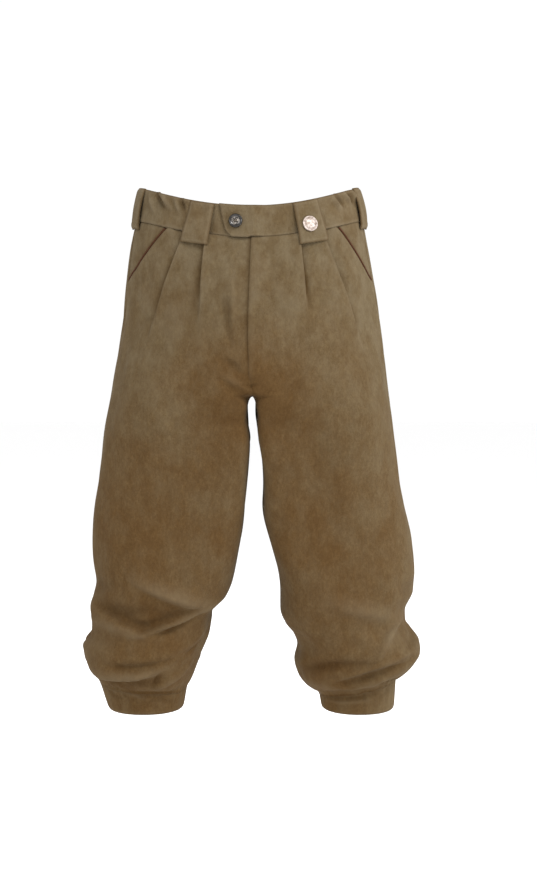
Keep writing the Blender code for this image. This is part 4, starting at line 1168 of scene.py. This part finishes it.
# Columns as in the folds' table.
BAND_FOLDS = {
    RIGHT: (
        (0.345, 0.0300, 0.325, 0.0200, 0.300, 0.0080, 0.005, 0.0050, 0.0018),
        (0.318, 0.0365, 0.292, 0.0280, 0.262, 0.0180, 0.004, 0.0040, -0.0024),
        (0.285, 0.0365, 0.262, 0.0280, 0.235, 0.0190, 0.004, 0.0050, 0.0021),
        (0.208, 0.0360, 0.198, 0.0280, 0.190, 0.0200, 0.004, 0.0040, -0.0023),
        (0.228, 0.0340, 0.214, 0.0250, 0.205, 0.0150, 0.004, 0.0040, 0.0015),
        (0.620, 0.0330, 0.640, 0.0220, 0.665, 0.0100, 0.005, 0.0050, -0.0018),
        (0.800, 0.0340, 0.780, 0.0240, 0.755, 0.0120, 0.005, 0.0050, -0.0015),
    ),
    LEFT: (
        (0.255, 0.0340, 0.272, 0.0240, 0.292, 0.0120, 0.005, 0.0050, 0.0018),
        (0.275, 0.0365, 0.292, 0.0270, 0.312, 0.0170, 0.004, 0.0040, -0.0023),
        (0.308, 0.0365, 0.326, 0.0280, 0.348, 0.0180, 0.004, 0.0040, 0.0021),
        (0.340, 0.0350, 0.358, 0.0260, 0.382, 0.0150, 0.004, 0.0050, -0.0023),
        (0.368, 0.0360, 0.384, 0.0290, 0.402, 0.0200, 0.004, 0.0040, 0.0018),
        (0.610, 0.0340, 0.635, 0.0240, 0.660, 0.0130, 0.005, 0.0050, -0.0018),
        (0.810, 0.0330, 0.785, 0.0220, 0.765, 0.0110, 0.005, 0.0050, -0.0015),
    ),
}
CUFF_FOLDS = {
    RIGHT: (
        (0.400, -0.7030, 0.370, -0.7120, 0.320, -0.7160, 0.004, 0.0040, -0.0007),
        (0.300, -0.7040, 0.270, -0.7100, 0.210, -0.7120, 0.003, 0.0040, 0.0006),
        (0.180, -0.7040, 0.150, -0.7150, 0.110, -0.7200, 0.004, 0.0050, -0.0007),
        (0.800, -0.7050, 0.770, -0.7120, 0.700, -0.7150, 0.004, 0.0040, -0.0006),
    ),
    LEFT: (
        (0.120, -0.7050, 0.220, -0.7100, 0.330, -0.7080, 0.003, 0.0040, -0.0008),
        (0.100, -0.7120, 0.200, -0.7170, 0.300, -0.7160, 0.004, 0.0040, 0.0006),
        (0.400, -0.7040, 0.360, -0.7140, 0.310, -0.7200, 0.004, 0.0040, -0.0006),
        (0.720, -0.7050, 0.760, -0.7130, 0.820, -0.7150, 0.004, 0.0040, -0.0006),
    ),
}


# %% A length of band
def band(name, side, turns, lifts, bottoms, edges, tops=None, table=None):
    """Cloth between a top and a bottom height for each column. `edges` says how strongly the
    inner, outer, top and bottom edges roll."""
    share = np.linspace(0, 1, BAND_ROWS)[:, None]
    tops = WAIST_TOP + 0 * bottoms if tops is None else tops
    heights = tops + (bottoms - tops) * share
    grid = turns if turns.ndim == 2 else np.repeat(turns[None, :], BAND_ROWS, axis=0)
    width = per_turn(side, grid, heights)
    distances = (
        (grid - grid[:, :1]) * width,
        (grid[:, -1:] - grid) * width,
        tops - heights,
        heights - bottoms,
    )
    roll = sum(along_edge(d, BAND_EDGE) * e for d, e in zip(distances, edges))
    at_waist = table is None
    folds = fold_relief((BAND_FOLDS if at_waist else CUFF_FOLDS)[side], grid, heights)
    folds = folds * (WAIST_FOLD_DEPTH if at_waist else 1.0)
    lift = BAND_PROUD + lifts + folds - EDGE_ROLL * np.minimum(roll, 1.2)
    ridge = np.clip(folds / BAND_RIDGE, -1, 1)
    points = form(side, grid, heights, table)
    points = points + outward(side, grid, heights, table) * lift[..., None]
    uv = np.stack([grid * ROUND_LEG + 2.0 * side + 5.0, heights + 1.0], axis=-1)
    # Painted shade along the rolled edges and in the troughs of puckers.
    seam = sum(along_edge(d, BAND_SHADE) * e for d, e in zip(distances, edges)) * 0.7
    seam = np.clip(seam + 0.35 * np.maximum(-ridge, 0), 0, 1)
    # Edges that rub are paler, and a highlight is painted on the crests of puckers.
    wear_and_highlight = sum(along_edge(d - 0.0015, 0.0022) for d in distances)
    wear_and_highlight = wear_and_highlight * (WAIST_WEAR if at_waist else CUFF_WEAR)
    wear_and_highlight = np.clip(wear_and_highlight + 0.6 * np.maximum(ridge, 0), 0, 1)
    piece = cloth_piece(name + "_cloth", points, uv, seam, wear_and_highlight, BAND_CLOTH, side == RIGHT)
    return dress(piece, moleskin, "cloth", name)


# %% The waistband's halves and the knee bands
def make_waistband_right():
    turns = np.linspace(0.0012, 1 - SEAM_TURN, 240)
    flat = np.zeros((1, len(turns)))
    edges = (0.5, 1, 1.0, 0.15)
    return band("waistband_right", RIGHT, turns, flat, flat + WAIST_SEAM, edges)


def make_waistband_left():
    """The columns from 0 to 1 go round the body; those before 0 are the tab."""
    per_metre = float(turn_across(RIGHT, TAB_LENGTH, 0.0)) / TAB_LENGTH
    tab = np.linspace(-TAB_LENGTH, 0, 30) * per_metre
    rest = np.linspace(0, 1 - SEAM_TURN, 236)[1:]
    turns = np.concatenate([tab, rest])
    before = np.maximum(-turns, 0) / per_metre  # metres past the centre front
    corner = np.maximum(before - (TAB_LENGTH - TAB_CORNER), 0)
    bottoms = WAIST_SEAM - TAB_SAG * (1 - ramp(turns, -0.012, 0.0)) + corner * 0.95
    lifts = TAB_LIFT * (1 - ramp(turns, 0.004, 0.050))
    down = np.linspace(0, 1, BAND_ROWS)[:, None]
    slant = TAB_SLANT * (1 - 1.8 * down) * (before / TAB_LENGTH) ** 2
    grid = turns[None, :] - per_metre * slant
    below = TAB_ROLL - ROLL_LOST * ramp(turns, 0.17, 0.22)[None, :]
    edges = (0.8, 1, 1.0, below)
    return band("waistband_left", LEFT, grid, lifts[None, :], bottoms[None, :], edges)


def make_cuff(side):
    turns = np.linspace(SEAM_TURN, 1 - SEAM_TURN, 190)
    flat = np.zeros((1, len(turns)))
    ripple = 0.00040 * np.sin(2 * np.pi * (17 * turns + 0.8 * np.sin(2 * np.pi * 3 * turns)))
    ripple = ripple + 0.0003 * np.sin(2 * np.pi * 29 * turns + side)
    fade = np.linspace(1, 0.15, BAND_ROWS)[:, None]
    name, edges = f"knee_band_{SIDE_WORD[side]}", (1, 1, 0.7, 0.8)
    ripple = ripple[None, :] * fade
    return band(name, side, turns, ripple, flat + HEM, edges, tops=flat + CUFF_SEAM, table=CUFF)


waistbands = (make_waistband_right(), make_waistband_left())
cuffs = {side: make_cuff(side) for side in (RIGHT, LEFT)}
print("bands:", [p.name for p in (*waistbands, *cuffs.values())])

# %% [markdown]
# ## Belt loops
# The loops are very wide: a front one covers the tops of both pleats. Each is a strip turned
# under at its ends, sewn to the top of the band and below it, and it leans with the pleats. It
# stands a little off the band in the middle, so that a belt can pass, and all its edges are
# rounded folds. The foot is a little thicker where the end is turned under.

# %% Belt loops
LOOP_TOP, LOOP_FOOT, LOOP_CLOTH = 0.036, 0.041, 0.0025  # widths of its ends, and its thickness
LOOP_CLEAR = 0.0008  # between a loop and the band, besides the gap of a seam
LOOP_EDGE, LOOP_ROLL = 0.0030, 0.0019  # how wide and how deep its edges roll
# Columns: side, turn, length, lean, belly, extra width, how far the top stands up.
LOOPS = {
    "belt_loop_front_right": (RIGHT, 0.135, 0.066, 0.110, 0.0010, 0.0, 0.0),
    "belt_loop_front_left": (LEFT, 0.161, 0.066, 0.095, 0.0010, 0.0030, 0.0),
    "belt_loop_side_right": (RIGHT, 0.428, 0.061, 0.040, 0.0030, 0.0, 0.0016),
    "belt_loop_side_left": (LEFT, 0.434, 0.061, 0.040, 0.0030, 0.0, 0.0022),
    "belt_loop_back": (LEFT, 1.000, 0.064, 0.000, 0.0026, 0.0, 0.0010),
}


def loop_face(name, across, down, out):
    """Points of a belt loop's inner face, moved out."""
    side, turn, length, lean, belly, _, above = LOOPS[name]
    heights = WAIST_TOP - 0.0005 + above - length * down + 0 * across
    turns = turn + (across + lean * length * down) / per_turn(side, turn, heights)
    over_pleats = 0.0034 * ramp(down, 0.10, 0.72) * ("front" in name)
    bow = belly * np.sin(np.pi * down**1.3) ** 0.8
    lift = BAND_PROUD + SEAM_GAP + LOOP_CLEAR + bow + over_pleats + out
    return form(side, turns, heights) + outward(side, turns, heights) * lift[..., None]


def make_loop(name):
    down = np.linspace(0, 1, 44)[:, None]
    share = np.linspace(-0.5, 0.5, 26)[None, :]
    across = share * (LOOP_TOP + (LOOP_FOOT - LOOP_TOP) * down + LOOPS[name][5])
    down = down + 0 * across
    length = LOOPS[name][2]
    distances = (
        (0.5 + share) * LOOP_FOOT + 0 * down,
        (0.5 - share) * LOOP_FOOT + 0 * down,
        down * length,
        (1 - down) * length,
    )
    roll = np.minimum(sum(along_edge(d, LOOP_EDGE) for d in distances), 1.15)
    foot = 0.0005 * ramp(down * length, length - 0.011, length - 0.008)
    soft = 0.00035 * np.sin(2 * np.pi * (1.6 * share + 0.9 * down + 0.13 * len(name)))
    out = LOOP_CLOTH + foot + soft - LOOP_ROLL * roll
    points = loop_face(name, across, down, out)
    uv = np.stack([across + 0.31 * len(name), -down * length + 0.2 * len(name)], axis=-1)
    # Painted shade round the loop's edges.
    seam = np.clip(sum(along_edge(d, 0.0021) for d in distances), 0, 1)
    wear_and_highlight = np.clip(sum(along_edge(d - 0.0034, 0.0022) for d in distances) * 0.5, 0, 1)
    side = LOOPS[name][0]
    piece = cloth_piece(name + "_cloth", points, uv, seam * 0.85, wear_and_highlight, LOOP_CLOTH, side == RIGHT)
    return dress(piece, moleskin, "cloth", name)


loops = {name: make_loop(name) for name in LOOPS}
print("loops:", list(loops))

# %% [markdown]
# ## Piping along the pockets
# Each slanted mouth is edged with a fine cord covered in rust-brown cloth. A curve with a round
# bevel follows the mouth, just outside the front's edge, and is then turned into a mesh.

# %% Piping
PIPING_RADIUS = 0.0014
rust = grained(
    "rust piping",
    (900, 3, 0.6),
    (0.3, 0.7),
    ((0.022, 0.008, 0.004, 1), (0.064, 0.025, 0.011, 1)),
    Roughness=0.9,
    Specular_IOR_Level=0.1,
)[0]


def only(piece):
    """Makes a piece the only selected and active one."""
    bpy.ops.object.select_all(action="DESELECT")
    piece.select_set(True)
    bpy.context.view_layer.objects.active = piece


def cord(name, spots, radius, resolution):
    """A round cord along a row of points, as a mesh."""
    curve = bpy.data.curves.new(name, "CURVE")
    curve.dimensions = "3D"
    curve.bevel_depth, curve.bevel_resolution, curve.use_fill_caps = radius, resolution, True
    spline = curve.splines.new("POLY")
    spline.points.add(len(spots) - 1)
    for point, spot in zip(spline.points, spots):
        point.co = (*map(float, spot), 1)
    made = bpy.data.objects.new(name, curve)
    bpy.context.scene.collection.objects.link(made)
    only(made)
    bpy.ops.object.convert(target="MESH")
    made = bpy.context.active_object
    made.data.shade_smooth()
    return made


def make_piping(side):
    rows = np.linspace(WAIST_SEAM - 0.0022, MOUTH_END + 0.0060, 48)
    mouth = mouth_turn(side, rows)
    turns = mouth + 1.25 * (SEAM_GAP + PIPING_RADIUS * 0.9) / per_turn(side, mouth, rows)
    sink = MOUTH_SINK * (1 - ramp(turns, mouth, mouth + MOUTH_FADE))
    sink = sink + HIP_SINK * (1 - ramp(turns, mouth - HIP_UNDERLAP, mouth + 0.012))
    lift = PIPING_RADIUS + 2 * SEAM_GAP - sink + slow_relief(side, turns, rows)
    line = form(side, turns, rows) + outward(side, turns, rows) * lift[:, None]
    name = f"pocket_piping_{SIDE_WORD[side]}"
    return dress(cord(name + "_cord", line, PIPING_RADIUS, 3), rust, "piping", name)


piping = {side: make_piping(side) for side in (RIGHT, LEFT)}
print("piping:", [piece.name for piece in piping.values()])

# %% [markdown]
# ## The button
# The waist button is dark polished horn: a raised rim round a dished middle with four holes,
# where the horn is paler, partly its own colour and partly a painted glint. It starts as a
# cylinder. Its top face is inset again and again, each time a little lower or higher, like a shape
# on a lathe. Four small cylinders cut the holes, a Bevel modifier rounds the rim, and thread
# crosses between the holes.


# %% Shaping by insets
def round_blank(name, radius, depth, sides, steps):
    """A disc lying on the origin whose top face is inset in (thickness, depth) steps."""
    bpy.ops.object.select_all(action="DESELECT")
    bpy.ops.mesh.primitive_cylinder_add(
        vertices=sides, radius=radius, depth=depth, location=(0, 0, depth / 2)
    )
    made = bpy.context.active_object
    made.name = made.data.name = name
    bpy.ops.object.transform_apply(location=True, rotation=True, scale=True)
    bpy.ops.object.mode_set(mode="EDIT")
    bpy.ops.mesh.select_mode(type="FACE")
    bpy.ops.mesh.select_all(action="DESELECT")
    bpy.ops.object.mode_set(mode="OBJECT")
    for face in made.data.polygons:
        face.select = face.normal.z > 0.9
    bpy.ops.object.mode_set(mode="EDIT")
    for thickness, rise in steps:
        bpy.ops.mesh.inset(thickness=thickness, depth=rise)
    bpy.ops.object.mode_set(mode="OBJECT")
    return made


def apply_bevel(piece, width, angle=30, segments=3):
    only(piece)
    rounding = piece.modifiers.new("rounding", "BEVEL")
    rounding.width, rounding.segments = width, segments
    rounding.limit_method, rounding.angle_limit = "ANGLE", math.radians(angle)
    bpy.ops.object.modifier_apply(modifier=rounding.name)


# %% Joining pieces and setting them on the cloth
def join(pieces, name):
    """Joins pieces one after another, so that their faces always come in the same order."""
    made = pieces[0]
    for piece in pieces[1:]:
        only(made)
        piece.select_set(True)
        bpy.ops.object.join()
    made.name = made.data.name = name
    return made


def stand_on(piece, place, facing):
    """Turns a piece from +Z to face outwards at a place, and applies that to its mesh."""
    only(piece)
    facing = facing / np.linalg.norm(facing)
    right = np.cross((0, 0, 1), facing)
    right /= np.linalg.norm(right)
    up = np.cross(facing, right)
    turn = np.eye(4)
    turn[:3, 0], turn[:3, 1], turn[:3, 2], turn[:3, 3] = right, up, facing, place
    piece.matrix_world = [list(map(float, row)) for row in turn.T]
    bpy.ops.object.transform_apply(location=True, rotation=True, scale=True)


def seat(face):
    """Where a round piece rests on a 3 x 3 patch of cloth, and the way it faces."""
    facing = np.cross(face[1, 2] - face[1, 0], face[2, 1] - face[0, 1])
    facing /= np.linalg.norm(facing)
    facing *= -np.sign(facing[1])
    clear = ((face - face[1, 1]) @ facing).max() + SEAM_GAP
    return face[1, 1] + facing * clear, facing


# %% Button
BUTTON_RADIUS, BUTTON_DEPTH = 0.0097, 0.0030
BUTTON_SPOT = (-0.0212, 0.0125)  # across from the centre seam, and height
HOLE_RADIUS, HOLE_OUT = 0.00085, 0.0018
STRAND, STRAND_GAP, STRAND_ARCH = 0.00022, 0.00035, 0.0013  # of the thread
BUTTON_STEPS = ((0.0008, 0.0011), (0.0010, 0.0), (0.0010, -0.0009), (0.0020, -0.0007),
                (0.0016, -0.0001))


def button_seat():
    r = BUTTON_RADIUS
    heights = BUTTON_SPOT[1] + r * np.array((1, 0, -1))[:, None]
    across = BUTTON_SPOT[0] + r * np.array((-1, 0, 1))[None, :]
    across, heights = np.broadcast_arrays(across, heights)
    turns = -turn_across(LEFT, -across, heights)
    face = form(LEFT, turns, heights)
    return seat(face + outward(LEFT, turns, heights) * (BAND_PROUD + TAB_LIFT))


def make_button():
    button = round_blank("button_horn", BUTTON_RADIUS, BUTTON_DEPTH, 64, BUTTON_STEPS)
    for k in range(4):
        angle = math.radians(45 + 90 * k)
        bpy.ops.object.select_all(action="DESELECT")
        bpy.ops.mesh.primitive_cylinder_add(
            vertices=20,
            radius=HOLE_RADIUS,
            depth=0.02,
            location=(HOLE_OUT * math.cos(angle), HOLE_OUT * math.sin(angle), 0),
        )
        drill = bpy.context.active_object
        only(button)
        hole = button.modifiers.new("hole", "BOOLEAN")
        hole.operation, hole.object, hole.solver = "DIFFERENCE", drill, "EXACT"
        bpy.ops.object.modifier_apply(modifier=hole.name)
        bpy.data.objects.remove(drill)
    apply_bevel(button, 0.00025, 25)
    only(button)
    bpy.ops.object.shade_smooth_by_angle(angle=math.radians(35))
    return button


# %% Thread
def thread(name, start, end, rise, radius):
    """A short thread that arches from one point to another."""
    start, end, rise = (np.array(v, float) for v in (start, end, rise))
    shares = [k / 8 for k in range(9)]
    spots = [start + (end - start) * s + rise * math.sin(math.pi * s) for s in shares]
    return cord(name, spots, radius, 2)


def make_button_thread():
    """Two bars of thread, three strands each, between the four holes."""
    strands = []
    in_holes = BUTTON_DEPTH + sum(rise for _, rise in BUTTON_STEPS) - 0.0008
    h = HOLE_OUT / math.sqrt(2)
    for side in (-1, 1):
        for n in (-1, 0, 1):
            x = side * h + n * STRAND_GAP
            ends = (x, -h, in_holes), (x, h, in_holes)
            strands.append(thread("strand", *ends, (0, 0, STRAND_ARCH), STRAND))
    return join(strands, "button_thread")


# %% Horn and thread
def horn_material(centre):
    """Polished horn: nearly black at the rim, with paler streaks in the dish, partly the horn's own
    colour and partly a painted glint.
    """
    made, tree, shader = new_material(
        "polished horn",
        Roughness=0.18,
        Specular_IOR_Level=0.35,
        Coat_Weight=0.25,
        Coat_Roughness=0.08,
    )
    place = new_node(tree, "ShaderNodeTexCoord")
    centred = new_node(tree, "ShaderNodeMapping", Location=[-float(v) for v in centre])
    link(tree, place.outputs["Object"], centred.inputs["Vector"])
    away = new_node(tree, "ShaderNodeVectorMath", operation="LENGTH")
    link(tree, centred.outputs[0], away.inputs[0])
    dish = spread(tree, away.outputs["Value"], 0.0046, 0.0074, 1.0, 0.0)
    cells = spread(tree, noise(tree, centred.outputs[0], 420, 3, 0.6), 0.44, 0.62)
    # The dish is paler: partly the horn's own colour, partly a painted glint.
    pale = arithmetic(tree, "MULTIPLY", dish, cells)
    colour = blend_colours(tree, pale, (0.006, 0.004, 0.003, 1), (0.300, 0.270, 0.235, 1))
    link(tree, colour, shader.inputs["Base Color"])
    return made


dark_thread = grained(
    "dark thread",
    (2500, 2, 0.5),
    (0.3, 0.7),
    ((0.050, 0.032, 0.018, 1), (0.120, 0.085, 0.048, 1)),
    Roughness=0.7,
)[0]
button_place, button_facing = button_seat()
button = make_button()
stand_on(button, button_place, button_facing)
dress(button, horn_material(button_place), "horn", "button")
button_thread = make_button_thread()
stand_on(button_thread, button_place, button_facing)
dress(button_thread, dark_thread, "cloth")
print("button at", np.round(button_place, 4))

# %% [markdown]
# ## The metal disc
# A small pale metal disc sits on the left front loop. It is a plain one, with a faint rosy
# tarnish: a bevelled rim, a ring of beads and a low dome. One bead is a small sphere flattened in
# edit mode; copies of it stand round the ring.

# %% Disc
BADGE_RADIUS, BADGE_DEPTH = 0.0110, 0.0012
BADGE_BEADS, BEAD_RADIUS, BEAD_HEIGHT = 28, 0.00085, 0.0015
BEAD_INSET = 0.0030  # how far in from the disc's edge the beads stand
BADGE_STEPS = ((0.0007, 0.0006), (0.0009, 0.0), (0.0003, -0.0004), (0.0022, 0.0), (0.0003, 0.0004),
               (0.0008, 0.0), (0.0020, 0.0005), (0.0022, 0.0003))


def badge_seat():
    r = BADGE_RADIUS
    down = 0.545 + r / 0.066 * np.array((-1, 0, 1))[:, None]
    across = -0.0030 + r * np.array((-1, 0, 1))[None, :]
    return seat(loop_face("belt_loop_front_left", across, down + 0 * across, LOOP_CLOTH + 0.0004))


def make_badge():
    disc = round_blank("badge_disc", BADGE_RADIUS, BADGE_DEPTH, 72, BADGE_STEPS)
    apply_bevel(disc, 0.00018, 25, 2)
    bpy.ops.object.select_all(action="DESELECT")
    bpy.ops.mesh.primitive_uv_sphere_add(segments=12, ring_count=8, radius=BEAD_RADIUS)
    bead = bpy.context.active_object
    bpy.ops.object.mode_set(mode="EDIT")
    bpy.ops.mesh.select_all(action="SELECT")
    bpy.ops.transform.resize(value=(1, 1, 0.7))
    bpy.ops.object.mode_set(mode="OBJECT")
    beads = []
    for k in range(BADGE_BEADS):
        angle = 2 * math.pi * k / BADGE_BEADS
        copy = bead.copy()
        copy.data = bead.data.copy()
        out = BADGE_RADIUS - BEAD_INSET
        copy.location = (out * math.cos(angle), out * math.sin(angle), BEAD_HEIGHT)
        bpy.context.scene.collection.objects.link(copy)
        beads.append(copy)
    bpy.data.objects.remove(bead)
    made = join([disc, *beads], "badge_disc")
    bpy.ops.object.shade_smooth_by_angle(angle=math.radians(40))
    return made


# %% Pale metal
pale_metal, tree, shader, tarnish = grained(
    "pale metal",
    (260, 4, 0.6),
    (0.42, 0.66),
    ((0.42, 0.36, 0.33, 1), (0.20, 0.15, 0.12, 1)),
    Metallic=0.30,
)
link(tree, spread(tree, tarnish, 0, 1, 0.46, 0.60), shader.inputs["Roughness"])
badge_place, badge_facing = badge_seat()
badge = make_badge()
stand_on(badge, badge_place, badge_facing)
dress(badge, pale_metal, "metal", "badge")
print("disc at", np.round(badge_place, 4))

# %% [markdown]
# ## The bar tack
# A few tight stitches lie across the centre seam where the fly ends, so that it can't tear
# further. They are short arched threads, one over the other.

# %% Bar tack
STITCHES, STITCH_STEP, STITCH_RADIUS = 6, 0.00062, 0.00034
STITCH_ARCH, STITCH_SUNK = 0.0012, 0.0004  # out in the middle, and in at the ends


def centre_point(across, height, out):
    """A point a given distance to the left of the centre seam, in front, standing out."""
    side = RIGHT if across < 0 else LEFT
    place = np.array([abs(across) / float(per_turn(side, 0.01, height))])
    level = np.array([height])
    point = form(side, place, level) + outward(side, place, level) * out
    return point[0]


tack = []
for k in range(STITCHES):
    level = FLY_END - 0.0030 - STITCH_STEP * k
    reach = 0.0046 - 0.0004 * (k % 2)
    start = centre_point(-reach, level, -STITCH_SUNK)
    end = centre_point(reach, level + 0.0004, -STITCH_SUNK)
    tack.append(thread("stitch", start, end, (0, -STITCH_ARCH, 0), STITCH_RADIUS))
bar_tack = join(tack, "bar_tack")
dress(bar_tack, dark_thread, "cloth")
print("bar tack:", len(tack), "stitches at", FLY_END)
